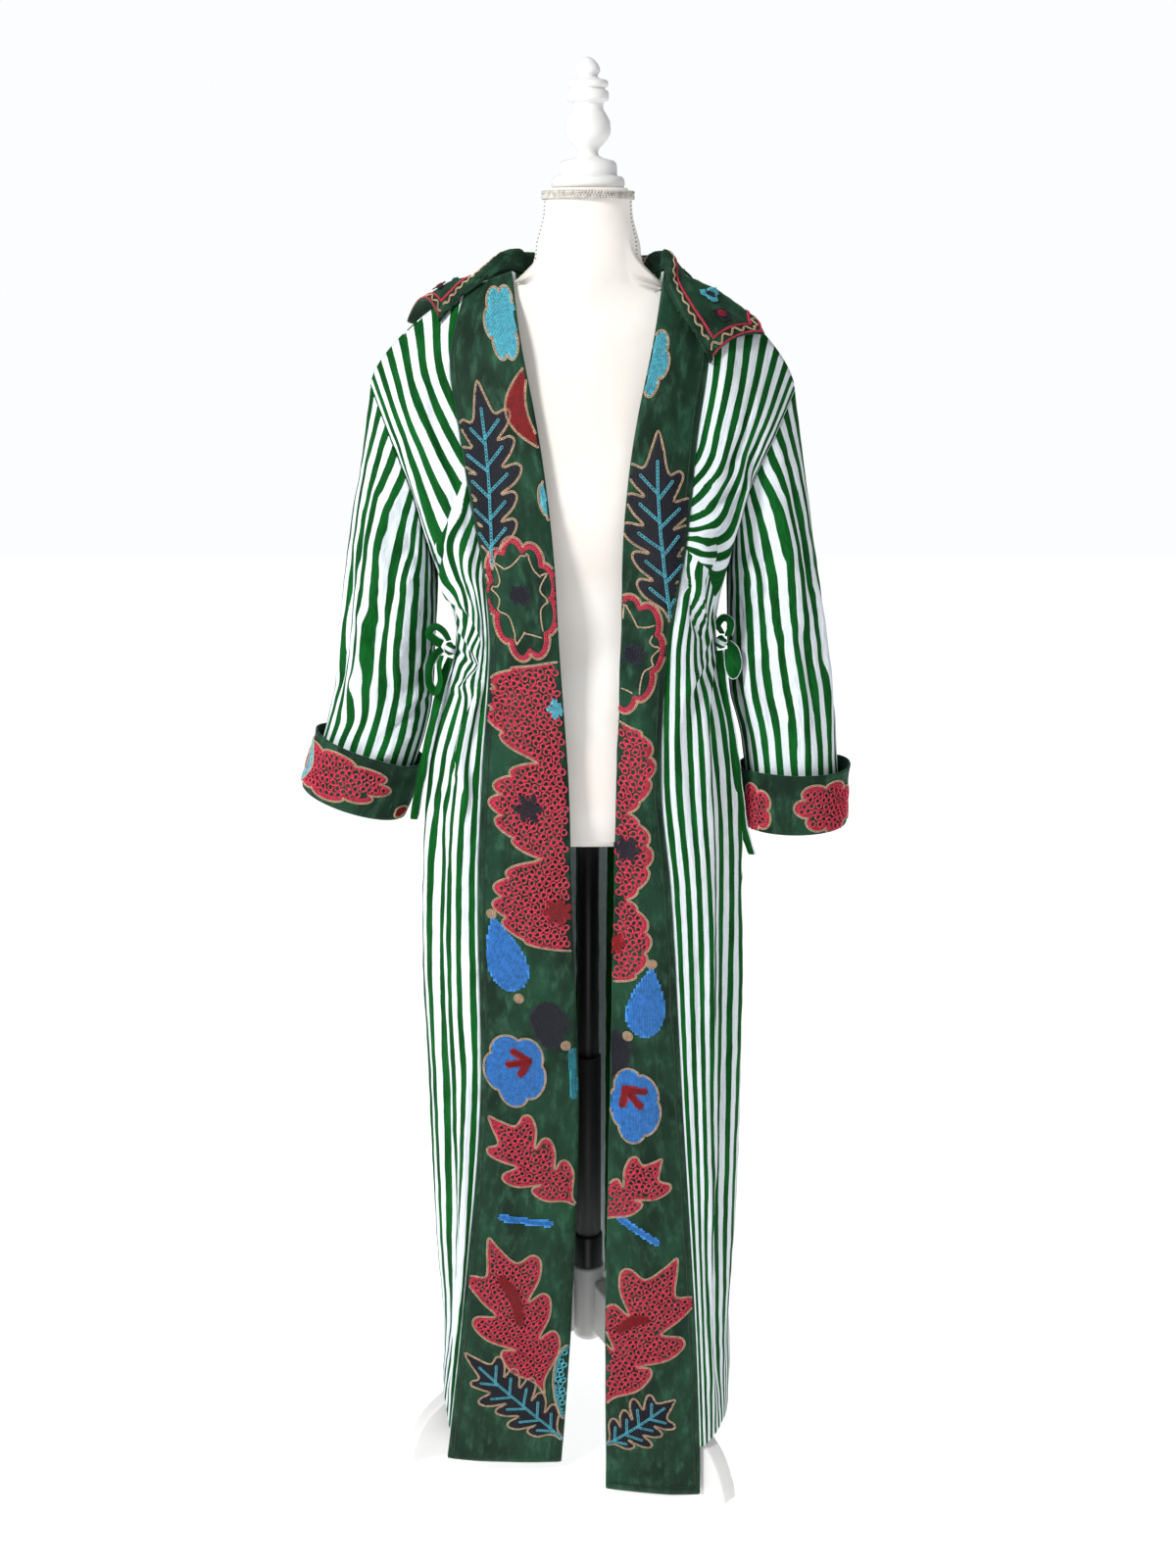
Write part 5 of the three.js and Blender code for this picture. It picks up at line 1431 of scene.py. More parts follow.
stand_piece("turned_cap", turned_mesh("turned_cap", profile), PAINT, "form_cap")
pole("upper_pole", 12, 487.0, 766.6, STEEL, "pole_upper")
pole("lower_pole", 15, 262.3, 486.7, DULL_STEEL, "pole_lower")
ring_rows = [(0.01, 222.3), (16.4, 222.3), (17, 224), (17, 260), (16.2, 261.8), (0.01, 262)]
stand_piece("clamp_ring", turned_mesh("clamp_ring", sharp_profile(ring_rows, 0.5), 48), STEEL, "clamp_ring")
HUB_RADIUS, HUB_BOTTOM, HUB_ROUND = 19, 122, 14
hub_turns = np.linspace(0.25, math.pi / 2, 8)
hub_rows = [(HUB_RADIUS * math.sin(t), HUB_BOTTOM + HUB_ROUND * (1 - math.cos(t))) for t in hub_turns]
hub_rows = [(0.01, HUB_BOTTOM), *hub_rows, (HUB_RADIUS, 219), (18, 221.5), (0.01, 221.7)]
stand_piece("leg_hub", turned_mesh("leg_hub", sharp_profile(hub_rows, 0.5), 56), PAINT, "hub")

LEG_HALF, LEG_BEVEL = 11.0, 3.2  # half a leg's width, and its rounded edges
LEG_TOP = [(19.3, 206), (60, 178), (110, 124), (150, 91), (176, 77), (203, 53), (218, 22), (222, 5)]
LEG_UNDER = [(218, 0), (174, 0), (169, 32), (152, 56), (110, 84), (60, 118), (19.3, 140)]


def leg_mesh(name, turn):
    upper = [tuple(p) for p in curve_points(LEG_TOP, 7)]
    lower = [tuple(p) for p in curve_points(LEG_UNDER[1:], 7)]
    outline = upper + [LEG_UNDER[0]] + lower
    bm = bmesh.new()
    verts = [bm.verts.new((x * MM, -LEG_HALF * MM, z * MM)) for x, z in outline]
    face = bm.faces.new(verts)
    made = bmesh.ops.extrude_face_region(bm, geom=[face])
    moved = [e for e in made["geom"] if isinstance(e, bmesh.types.BMVert)]
    bmesh.ops.translate(bm, verts=moved, vec=(0, 2 * LEG_HALF * MM, 0))
    bmesh.ops.recalc_face_normals(bm, faces=bm.faces)
    rims = [e for e in bm.edges if len(e.link_faces) == 2]
    rims = [e for e in rims if any(len(f.verts) > 8 for f in e.link_faces)]
    bmesh.ops.bevel(
        bm, geom=rims, offset=LEG_BEVEL * MM, offset_type="OFFSET", segments=4, profile=0.5,
        affect="EDGES", material=-1, clamp_overlap=True,
    )
    bmesh.ops.rotate(bm, verts=bm.verts, cent=(0, 0, 0), matrix=Matrix.Rotation(math.radians(turn), 3, "Z"))
    bmesh.ops.translate(bm, verts=bm.verts, vec=Vector(POLE))
    return finished(bm, name)


for i, turn in enumerate((197, 317, 77), 1):
    piece = stand_piece("stand_leg_%d" % i, leg_mesh("leg_%d" % i, turn), PAINT, "leg_%d" % i)
    for p in piece.data.polygons:
        p.use_smooth = len(p.vertices) <= 8

# ---- what each piece stands for
BODY_SHEETS = {
    "band_right": ((0.105, 1.42), ("form_torso",), "green_velvet"),
    "band_left": ((0.085, 1.42), ("form_torso",), "green_velvet"),
    "front_right": ((0.145, 1.32), ("form_torso",), "striped_cotton"),
    "front_left": ((0.145, 1.32), ("form_torso",), "striped_cotton"),
    "back": ((0.46, 1.36), ("form_torso",), "striped_cotton"),
    "sleeve_right": ((0.34, 0.40), ("front_right", "back"), "striped_cotton"),
    "sleeve_left": ((0.34, 0.40), ("front_left", "back"), "striped_cotton"),
    "cuff_right": ((0.36, 0.085), ("sleeve_right",), "green_velvet"),
    "cuff_left": ((0.36, 0.085), ("sleeve_left",), "green_velvet"),
    "collar": ((0.52, 0.095), ("band_right", "band_left", "back"), "green_velvet"),
}
SEWN = {name: [] for name in [*BODY_SHEETS, "form"]}


# ---- embroidery: threads
THREADS = {
    "coral": srgb(240, 58, 94),
    "crimson": srgb(160, 0, 14),
    "cream": srgb(228, 194, 160),
    "aqua": srgb(100, 206, 226),
    "blue": srgb(62, 150, 232),
    "navy": srgb(26, 31, 46),
    "teal": srgb(34, 150, 166),
    "natural": srgb(222, 218, 208),
    "forest": srgb(30, 66, 46),
    "grey": srgb(120, 116, 112),
}


def fill_thread(color):
    def fill(n, bsdf):
        at = n.place()
        shade = n.noise(at, 240.0, 3.0)
        fibre = n.noise(at, 1500.0, 2.0)
        dark = tuple(c * 0.42 for c in color)
        both = n.plus(n.times(shade, 0.5), n.times(fibre, 0.5))
        n.join(n.blend(n.ramp(both, 0.3, 0.62), dark, color), bsdf.inputs["Base Color"])
        set_inputs(bsdf, Roughness=0.62, Specular_IOR_Level=0.3, Sheen_Weight=0.15)
        n.join(n.bump(fibre, 0.0004, 0.6), bsdf.inputs["Normal"])

    return fill


THREAD_ORDER = list(THREADS)
THREAD_MATERIALS = {name: shader("thread_" + name, fill_thread(color)) for name, color in THREADS.items()}


def ring_template(segments, sides):
    """A ring spun from a small circle: each corner's turn, its place on that circle, and the faces."""
    bm = bmesh.new()
    made = bmesh.ops.create_circle(bm, segments=sides, radius=0.3, cap_ends=False)
    bmesh.ops.rotate(bm, verts=made["verts"], cent=(0, 0, 0), matrix=Matrix.Rotation(math.pi / 2, 3, "X"))
    bmesh.ops.translate(bm, verts=made["verts"], vec=(1, 0, 0))
    bmesh.ops.spin(
        bm, geom=bm.verts[:] + bm.edges[:], cent=(0, 0, 0), axis=(0, 0, 1), angle=2 * math.pi,
        steps=segments, use_merge=True, use_duplicate=False,
    )
    bmesh.ops.remove_doubles(bm, verts=bm.verts, dist=1e-4)
    bmesh.ops.recalc_face_normals(bm, faces=bm.faces)
    corners = np.array([v.co[:] for v in bm.verts])
    faces = np.array([[v.index for v in f.verts] for f in bm.faces])
    bm.free()
    turn = np.arctan2(corners[:, 1], corners[:, 0])
    out = (np.hypot(corners[:, 0], corners[:, 1]) - 1) / 0.3
    return turn, out, corners[:, 2] / 0.3, faces


LINK = ring_template(6, 3)
NET_RING = ring_template(9, 3)


class Sewing:
    """Stitches laid on a surface. surface(x, y, lift) gives a place in millimetres from one on the cloth."""

    def __init__(self, name, surface, panel, keep=lambda x, y: np.ones(x.shape, bool)):
        self.name, self.surface, self.panel, self.keep = name, surface, panel, keep
        self.layers = {}

    def store(self, layer, points, faces, thread):
        rows = self.layers.setdefault(layer, [])
        rows.append((points, faces, THREAD_ORDER.index(thread)))

    def rings(self, layer, template, centres, ways, long, wide, radial, tall, lift, thread, lobes=0.0):
        centres, ways = np.asarray(centres, float), np.asarray(ways, float)
        if not len(centres):
            return
        kept = self.keep(centres[:, 0], centres[:, 1])
        centres, ways = centres[kept], ways[kept]
        if not len(centres):
            return
        turn, out, up, faces = template
        thick = radial * (1 + lobes * np.cos(6 * turn))
        a = (long + out * thick) * np.cos(turn)
        b = (wide + out * thick) * np.sin(turn)
        side = left_of(ways)
        x = centres[:, :1] + ways[:, :1] * a + side[:, :1] * b
        y = centres[:, 1:] + ways[:, 1:] * a + side[:, 1:] * b
        height = np.broadcast_to(lift + up * tall, x.shape)
        points = self.surface(x, y, height)
        count = points.shape[1]
        every = faces[None] + (np.arange(len(centres)) * count)[:, None, None]
        self.store(layer, points.reshape(-1, 3), every.reshape(-1, faces.shape[1]), thread)

    def chain(self, layer, line, thread, wide=1.35, step=3.3, lift=0.7, closed=False):
        """Chain stitches along a line: each loop starts inside the one before."""
        line = np.asarray(line, float)
        if closed:
            line = np.vstack([line, line[:1]])
        run = run_along(line)
        count = max(1, int(run[-1] / step))
        marks = (np.arange(count) + 0.5) * run[-1] / count
        at = lambda m: np.stack([np.interp(m, run, line[:, 0]), np.interp(m, run, line[:, 1])], -1)
        ways = unit(at(marks + 0.8) - at(marks - 0.8))
        self.rings(layer, LINK, at(marks), ways, step * 0.6, wide * 0.62, 0.62, 0.6, lift, thread)

    def backing(self, layer, inside, box, thread, lift=0.16, cell=2.6):
        """A flat ground of thread under a filled shape, in small squares that follow the cloth."""
        x0, y0, x1, y1 = box
        nx, ny = int((x1 - x0) / cell) + 1, int((y1 - y0) / cell) + 1
        x, y = np.meshgrid(x0 + np.arange(nx + 1) * cell, y0 + np.arange(ny + 1) * cell, indexing="ij")
        middle = np.stack([x[:-1, :-1] + cell / 2, y[:-1, :-1] + cell / 2], -1)
        use = inside(middle.reshape(-1, 2)).reshape(nx, ny)
        use &= self.keep(middle[..., 0], middle[..., 1])
        if not use.any():
            return
        index = np.arange((nx + 1) * (ny + 1)).reshape(nx + 1, ny + 1)
        faces = np.stack([index[:-1, :-1], index[1:, :-1], index[1:, 1:], index[:-1, 1:]], -1)[use]
        used, faces = np.unique(faces, return_inverse=True)
        faces = faces.reshape(-1, 4)
        px, py = x.reshape(-1)[used], y.reshape(-1)[used]
        self.store(layer, self.surface(px, py, np.full(px.shape, lift)), faces, thread)

    def build(self):
        """One object for each layer of stitches."""
        made = []
        for layer, rows in self.layers.items():
            first, points, faces, threads = 0, [], [], []
            for place, polygons, thread in rows:
                points.append(place)
                faces.append(polygons + first)
                threads.append(np.full(len(polygons), thread))
                first += len(place)
            points = np.concatenate(points) * MM + POLE
            faces, threads = np.concatenate(faces), np.concatenate(threads)
            name = "embroidery_%s_%s" % (self.name, layer)
            mesh = bpy.data.meshes.new(name)
            mesh.from_pydata(points, [], faces.tolist())
            piece = put(name, mesh, [THREAD_MATERIALS[t] for t in THREAD_ORDER])
            mesh.polygons.foreach_set("material_index", threads.astype(np.int32))
            bm = bmesh.new()
            bm.from_mesh(mesh)
            bmesh.ops.recalc_face_normals(bm, faces=bm.faces)
            bm.to_mesh(mesh)
            bm.free()
            SEWN[self.panel].append(piece)
            made.append(piece)
        return made


# ---- embroidery: shapes
def blossom(x, y, wide, tall, lobes, depth=0.16, turn=0.0):
    """A flower about a centre: round lobes with sharp clefts, a little uneven. No lobes give an oval."""
    t = np.linspace(0, 2 * math.pi, max(72, 26 * lobes), endpoint=False)
    reach = 1 - depth + depth * np.abs(np.cos(lobes * t / 2 + turn)) ** 0.6
    reach = reach * (1 + 0.05 * np.sin(2 * t + 3 * turn) + 0.03 * np.sin(3 * t + turn))
    return np.stack([x + wide / 2 * reach * np.cos(t), y + tall / 2 * reach * np.sin(t)], -1)


def tiers(low, high, wide, count, scallops, lean=0.12):
    """Half blossoms one over another on the front edge, with deep clefts between them."""
    s = np.linspace(0, 1, 80 * count)
    ends = smooth(s / 0.03) * smooth((1 - s) / 0.03)
    across = 0.7 * np.abs(np.sin(math.pi * count * s)) ** 0.5 + 0.3 * ends
    across = wide * across * (0.85 + 0.15 * np.abs(np.cos(math.pi * scallops * s)) ** 0.6)
    return np.stack([across, low + (high - low) * s + lean * (across - wide * 0.5) * ends], -1)


def drop(foot, tip, half):
    """A bud: round at its foot and pointed at its tip."""
    foot, tip = np.array(foot, float), np.array(tip, float)
    t = np.linspace(0, 2 * math.pi, 72, endpoint=False)
    along = ((1 - np.cos(t)) / 2)[:, None]
    way = tip - foot
    side = unit(left_of(way))
    return foot + way * along + side * half * 1.5 * np.sin(t)[:, None] * (1 - along) ** 0.5


def crescent(x, y, tall, bow, wide):
    """A moon that bends away from the front edge."""
    t = np.linspace(-1, 1, 40)
    out = x + bow * (1 - t**2)
    line, height = np.concatenate([out, (out - wide * (1 - t**2) ** 0.7)[::-1]]), y + tall / 2 * t
    return np.stack([line, np.concatenate([height, height[::-1]])], -1)


def lobed(foot, tip, half, lobes):
    return leaf_line(foot, tip, half, lobes)[0]


def inset(line, distance):
    way = np.roll(line, -1, 0) - np.roll(line, 1, 0)
    area = np.sum(line[:, 0] * np.roll(line[:, 1], -1) - np.roll(line[:, 0], -1) * line[:, 1])
    way = unit(way) * (1 if area > 0 else -1)
    moved = line + left_of(way) * distance
    return moved[edge_gap(moved, line) > distance * 0.8]


def edge_gap(points, line):
    """Least distance from each point to a closed line."""
    a, b = line, np.roll(line, -1, 0)
    way = b - a
    long = np.maximum((way**2).sum(1), 1e-9)
    best = np.full(len(points), 1e9)
    for i in range(len(a)):
        t = np.clip(((points - a[i]) @ way[i]) / long[i], 0, 1)
        x, y = points[:, 0] - a[i, 0] - t * way[i, 0], points[:, 1] - a[i, 1] - t * way[i, 1]
        best = np.minimum(best, np.hypot(x, y))
    return best


def within(points, line):
    """Which points lie inside a closed line."""
    made = np.zeros(len(points), bool)
    x, y = points[:, 0], points[:, 1]
    for (ax, ay), (bx, by) in zip(line, np.roll(line, -1, 0)):
        if ay == by:
            continue
        crosses = (ay > y) != (by > y)
        made ^= crosses & (x < (bx - ax) * (y - ay) / (by - ay) + ax)
    return made


def box_of(line):
    return (*line.min(0), *line.max(0))


def lattice(line, pitch, step, way_degrees, margin, sway=0.0):
    """Even places inside a closed line, in rows that run a given way."""
    way = np.array([math.cos(math.radians(way_degrees)), math.sin(math.radians(way_degrees))])
    side = left_of(way)
    middle = (line.min(0) + line.max(0)) / 2
    reach = np.linalg.norm(line.max(0) - line.min(0)) / 2 + pitch
    rows, cols = np.arange(-reach, reach, pitch), np.arange(-reach, reach, step)
    r, c = np.meshgrid(rows, cols, indexing="ij")
    c = c + (np.arange(len(rows)) % 2)[:, None] * step / 2
    r = r + sway * np.sin(c * 0.11)
    points = middle + r.reshape(-1, 1) * side + c.reshape(-1, 1) * way
    points = points[within(points, line)]
    points = points[edge_gap(points, line) > margin] if len(points) else points
    return points, np.tile(way, (len(points), 1))


def sew_fill(sewing, line, thread, way_degrees, outlined=True):
    sewing.backing("fill", lambda p: within(p, line) & (edge_gap(p, line) > 0.4), box_of(line), thread)
    points, ways = lattice(line, 2.7, 3.7, way_degrees, 1.5, 0.8)
    sewing.rings("fill", LINK, points, ways, 2.15, 0.8, 0.66, 0.7, 0.6, thread)
    if outlined:
        sewing.chain("outline", line, "cream", closed=True)


def sew_net(sewing, line, thread):
    points, _ = lattice(line, 6.5, 7.5, 8, 3.9, 0.9)
    x, y = points[:, 0], points[:, 1]
    points = points + 0.95 * np.stack([np.sin(x * 1.7 + y * 0.9), np.sin(y * 1.3 + x * 2.1)], -1)
    points = points[sewing.keep(points[:, 0] - 2.4, points[:, 1])]  # whole rings only at the front edge
    ways = unit(np.stack([np.sin(points[:, 0] * 3.1), 1.3 + np.cos(points[:, 1] * 2.3)], -1))
    sewing.rings("net", NET_RING, points, ways, 3.3, 2.85, 1.05, 0.95, 0.8, thread, 0.3)
    sewing.chain("net", inset(line, 2.5), thread, wide=1.6, step=3.2)
    inner = inset(line, 4.6)
    if len(inner) > 12:
        rest = inner[~near_any(inner, points, 3.0)]
        if len(rest):
            ways = np.tile([0.7, 0.7], (len(rest[::2]), 1))
            sewing.rings("net", LINK, rest[::2], ways, 1.5, 0.9, 0.6, 0.6, 0.6, thread)
    sewing.chain("outline", line, "cream", closed=True)


def raised_fill(sewing, line, thread, way_degrees, ground, grid, long, lift):
    """Stitches over other stitches, on a ground of their own. ground is its height and its squares' size."""
    pitch, step, margin = grid
    sewing.backing("fill", lambda p: within(p, line), box_of(line), thread, *ground)
    places, ways = lattice(line, pitch, step, way_degrees, margin)
    sewing.rings("fill", LINK, places, ways, long, 0.7, 0.6, 0.6, lift, thread)


def near_any(points, others, distance):
    if not len(others):
        return np.zeros(len(points), bool)
    gaps = np.hypot(points[:, :1] - others[:, 0], points[:, 1:] - others[:, 1])
    return gaps.min(1) < distance


def leaf_line(base, tip, half, lobes):
    """A leaf with pointed lobes that lean towards its tip, and the lines of its veins."""
    base, tip = np.array(base, float), np.array(tip, float)
    spine = tip - base
    long = np.linalg.norm(spine)
    spine = spine / long
    side = left_of(spine)
    sides, veins = [], [np.array([base + spine * long * 0.02, base + spine * long * 0.86])]
    for sign in (1, -1):
        points = [(0.0, 0.0), (0.10, 0.16)]
        for i in range(lobes):
            start = 0.10 + 0.70 * i / lobes + (0.03 if sign > 0 else 0)
            reach = 0.70 / lobes
            fullness = math.sin(math.pi * (0.24 + 0.58 * i / lobes)) ** 0.8
            fullness = fullness * (1 + 0.1 * math.sin(3 * i + sign))
            points += [
                (start + reach * 0.42, 0.86 * fullness), (start + reach * 0.86, 1.06 * fullness),
                (start + reach * 1.06, 0.9 * fullness), (start + reach * 0.98, 0.46 * fullness),
            ]
            vein_root = base + spine * long * (start + reach * 0.05)
            vein_end = base + spine * long * (start + reach * 0.72) + side * sign * half * 0.62 * fullness
            veins.append(np.array([vein_root, vein_end]))
        sides.append(points + [(0.93, 0.16)])
    ring = sides[0] + [(1.0, 0.0)] + [(a, -b) for a, b in reversed(sides[1][1:])]
    ring = [base + spine * long * a + side * half * b for a, b in ring]
    closed_ring = curve_points(ring + ring[:1], 5)[:-1]
    return closed_ring, veins


def degrees_of(start, end):
    return math.degrees(math.atan2(end[1] - start[1], end[0] - start[0]))


def sew_leaf(sewing, base, tip, half, lobes, thread):
    line, veins = leaf_line(base, tip, half, lobes)
    sew_fill(sewing, line, thread, degrees_of(base, tip))
    for row in veins:
        sewing.chain("outline", row, "aqua", wide=2.0, step=3.2, lift=1.35)


def sew_rosette(sewing, line, centre, thread):
    """A wavy border of three rows round bare velvet, with a thin wandering line and a dark heart."""
    sewing.chain("outline", line, "cream", closed=True)
    for gap in (2.4, 4.7):
        sewing.chain("net", inset(line, gap), thread, wide=1.6, step=3.1)
    # the thin line wanders in loops between the border and the heart
    around = line - np.array(centre, float)
    turns, reach = np.arctan2(around[:, 1], around[:, 0]), np.hypot(around[:, 0], around[:, 1])
    order = np.argsort(turns)
    turn = np.linspace(-math.pi, math.pi, 260)
    wide = np.interp(turn, turns[order], reach[order], period=2 * math.pi)
    radius = wide * (0.7 + 0.13 * np.sin(8 * turn) + 0.04 * np.sin(3 * turn + 1))
    bent = turn + 0.1 * np.cos(8 * turn) + 0.05 * np.cos(3 * turn)
    path = np.array(centre, float) + radius[:, None] * np.stack([np.cos(bent), np.sin(bent)], -1)
    path = path[within(path, line)]
    path = path[edge_gap(path, line) > 7.5]
    for start, end in split_runs(path, 6):
        sewing.chain("outline", path[start:end], "cream", wide=0.6, step=3.8, lift=0.5)
    heart = star_line(centre, 12, 7, 0.8)
    sew_fill(sewing, heart, "navy", 80, outlined=False)


def split_runs(path, most):
    """Start and end of each stretch of a line that has no jump in it."""
    jumps = np.where(np.linalg.norm(np.diff(path, axis=0), axis=1) > most)[0] + 1
    ends = [0, *jumps.tolist(), len(path)]
    return [(a, b) for a, b in zip(ends, ends[1:]) if b - a > 3]


def star_line(centre, radius, points, depth=0.55):
    turn = np.linspace(0, 2 * math.pi, 16 * points, endpoint=False)
    wave = np.abs(np.cos(turn * points / 2)) ** 1.4
    reach = (radius * (depth + (1 - depth) * wave))[:, None]
    return np.asarray(centre, float) + reach * np.stack([np.cos(turn), np.sin(turn)], -1)


def bar_line(start, end, wide):
    """A long stripe with round ends."""
    start, end = np.array(start, float), np.array(end, float)
    way = unit(end - start)
    side = left_of(way)
    turn = np.linspace(-math.pi / 2, math.pi / 2, 9)
    cap = np.cos(turn)[:, None] * way * wide / 2
    first = end + cap + np.sin(turn)[:, None] * side * wide / 2
    last = start - cap - np.sin(turn)[:, None] * side * wide / 2
    ring = np.vstack([first, last])
    return curve_points(np.vstack([ring, ring[:1]]), 3)[:-1]


def sew(sewing, kind, thread, points, *more):
    if kind == "fill":
        sew_fill(sewing, points, thread, more[0])
    elif kind == "plain_fill":
        sew_fill(sewing, points, thread, more[0], outlined=False)
    elif kind == "net":
        sew_net(sewing, points, thread)
    elif kind == "leaf":
        sew_leaf(sewing, points[0], points[1], *more, thread=thread)
    elif kind == "rosette":
        sew_rosette(sewing, points, more[0], thread)
    elif kind == "star":
        line = star_line(points[0], more[0], more[1])
        raised_fill(sewing, line, thread, 78, (1.6, 1.7), (2.4, 3.2, 0.6), 1.9, 2.0)
    elif kind == "knot":
        for radius in (1.0, 2.7, 4.4):
            if radius < more[0]:
                line = star_line(points[0], radius, 3, 0.95)
                sewing.chain("outline", line, thread, wide=1.5, step=2.4, lift=0.9, closed=True)
    elif kind == "bar":
        sew_fill(sewing, bar_line(*points, more[0]), thread, degrees_of(*points), outlined=False)
    elif kind == "stripe":
        middle = curve_points(points, 8)
        way = unit(np.gradient(middle, axis=0))
        side = left_of(way)
        taper = (more[0] / 2 * np.sin(np.linspace(0.35, math.pi - 0.35, len(middle))) ** 0.5)[:, None]
        line = np.vstack([middle + side * taper, (middle - side * taper)[::-1]])
        sewing.backing("fill", lambda p: within(p, line), box_of(line), thread, 1.6, 1.5)
        for share in np.linspace(-0.84, 0.84, max(2, round(more[0] / 2.3))):
            sewing.chain("fill", middle + side * taper * share, thread, wide=1.6, step=3.0, lift=2.1)
    elif kind == "spray":
        foot = np.array(points[0], float)
        for spread, share in ((-48, 0.8), (0, 1.0), (48, 0.8)):
            way = more[1] + spread
            turn = math.radians(way)
            tip = foot + more[0] * share * np.array([math.cos(turn), math.sin(turn)])
            line = bar_line(foot, tip, 8.0)
            raised_fill(sewing, line, thread, way, (1.4, 1.5), (2.2, 3.0, 0.5), 1.8, 1.8)


# Motifs on the bands: millimetres from the front edge, and height.
BAND_SHAPES = {}
BAND_SHAPES["right"] = [
    ("fill", "aqua", blossom(16, 1293, 36, 80, 6, 0.22), 80),
    ("fill", "crimson", crescent(2, 1209, 72, 27, 22), 75),
    ("leaf", "navy", [(64, 1065), (51, 1243)], 31, 5),
    ("fill", "aqua", blossom(0, 1126, 18, 38, 3, 0.15), 80),
    ("rosette", "coral", blossom(36, 1036, 78, 124, 9, 0.14), (38, 1040)),
    ("net", "coral", tiers(660, 974, 85, 3, 14)),
    ("star", "navy", [(43, 818)], 16, 6),
    ("star", "crimson", [(16, 705)], 16, 7),
    ("star", "aqua", [(7, 925)], 11, 5),
    ("plain_fill", "blue", drop((64, 614), (86, 698), 19), 82),
    ("knot", "cream", [(86, 700)], 5.0),
    ("plain_fill", "navy", blossom(30, 576, 42, 56, 4, 0.08), 70),
    ("knot", "cream", [(61, 606)], 5.5),
    ("fill", "blue", blossom(68, 522, 66, 90, 5, 0.18, 0.4), 88),
    ("spray", "crimson", [(54, 534)], 22, -15),
    ("knot", "cream", [(13, 551)], 5.0),
    ("bar", "teal", [(6, 542), (5, 493)], 11.0),
    ("net", "coral", lobed((0, 356), (98, 464), 34, 3)),
    ("bar", "blue", [(82, 342), (30, 336)], 9.0),
    ("net", "coral", lobed((26, 108), (96, 316), 44, 3)),
    ("stripe", "crimson", [(82, 268), (66, 244), (58, 208)], 12.0),
    ("net", "aqua", blossom(0, 124, 34, 106, 0)),
    ("leaf", "navy", [(0, 43), (119, 166)], 29, 5),
]
BAND_SHAPES["left"] = [
    ("fill", "aqua", blossom(2, 1250, 36, 66, 6, 0.24), 80),
    ("leaf", "navy", [(51, 1007), (23, 1192)], 33, 5),
    ("rosette", "coral", blossom(8, 980, 76, 122, 8, 0.14), (15, 980)),
    ("net", "coral", tiers(624, 908, 41, 3, 12)),
    ("star", "navy", [(15, 774)], 15, 6),
    ("star", "crimson", [(3, 668)], 13, 7),
    ("plain_fill", "blue", drop((34, 566), (42, 646), 18), 95),
    ("knot", "cream", [(42, 649)], 5.2),
    ("plain_fill", "navy", blossom(2, 543, 42, 58, 4, 0.08), 90),
    ("knot", "cream", [(19, 566)], 5.0),
    ("fill", "blue", blossom(28, 486, 56, 84, 5, 0.14, 1.2), 92),
    ("spray", "crimson", [(18, 505)], 23, -50),
    ("net", "coral", lobed((-4, 346), (58, 424), 27, 2)),
    ("bar", "blue", [(14, 352), (55, 325)], 8.5),
    ("net", "coral", lobed((-4, 116), (78, 304), 46, 3)),
    ("stripe", "crimson", [(14, 214), (30, 228), (48, 232)], 11.0),
    ("leaf", "navy", [(0, 69), (78, 130)], 27, 4),
]


SEAM_IN = 7  # from the band's outer edge to the stitched line


def band_edge(side, y):
    """How wide a band is at a height."""
    v = np.linspace(0, 1, 200)
    heights = read(FRONTS[side][0], "seamZ", level_at(v, BAND_HEM))
    return float(np.interp(y, heights, band_width(side, v)))


def band_surface(side):
    patch = PATCHES["band_" + side]
    v = np.linspace(0, 1, 900)
    heights = read(FRONTS[side][0], "seamZ", level_at(v, BAND_HEM))
    widths = band_width(side, v)

    def surface(x, y, lift):
        row = np.interp(y, heights, v)
        return patch.at(x / np.interp(row, v, widths), row, lift)

    def keep(x, y):
        wide = np.interp(y, heights, widths)
        return (x > 2.2) & (x < wide - 4) & (y > heights[0] + 4) & (y < heights[-1] - 3)

    return surface, keep


for side in SIDES:
    surface, keep = band_surface(side)
    sewing = Sewing("band_" + side, surface, "band_" + side, keep)
    for row in BAND_SHAPES[side]:
        sew(sewing, *row)
    # the stitched line of the facing, beside the outer edge and over the hem
    heights = np.arange(20.0, 1300.0, 4.0)
    wide = np.array([band_edge(side, y) for y in heights])
    across = np.arange(4.0, wide[0] - SEAM_IN, 3.0)
    beside = np.stack([wide - SEAM_IN + 0.6 * np.sin(heights * 0.05), heights], -1)
    over_hem = np.stack([across, 17 + 0.5 * np.sin(across * 0.1)], -1)
    for line in (beside, over_hem):
        sewing.chain("seam", line, "forest", wide=1.1, step=3.6, lift=0.3)
    sewing.build()


# Collar: millimetres along it from its right front end, and across the fall from the fold.
COLLAR_LENGTH = 520.0
collar_patch = PATCHES["collar"]
first_row = int(round(STAND * collar_patch.rows))
FALL_WIDTHS = np.linalg.norm(np.diff(collar_patch.places[first_row:], axis=0), axis=-1).sum(0)
FALL_MARKS = np.linspace(0, COLLAR_LENGTH, collar_patch.cols + 1)


def fall_width(x):
    return np.interp(x, FALL_MARKS, FALL_WIDTHS)


def collar_surface(x, y, lift):
    share = np.clip(y / fall_width(x), 0, 1)
    return collar_patch.at(x / COLLAR_LENGTH, STAND + (1 - STAND) * share, lift)


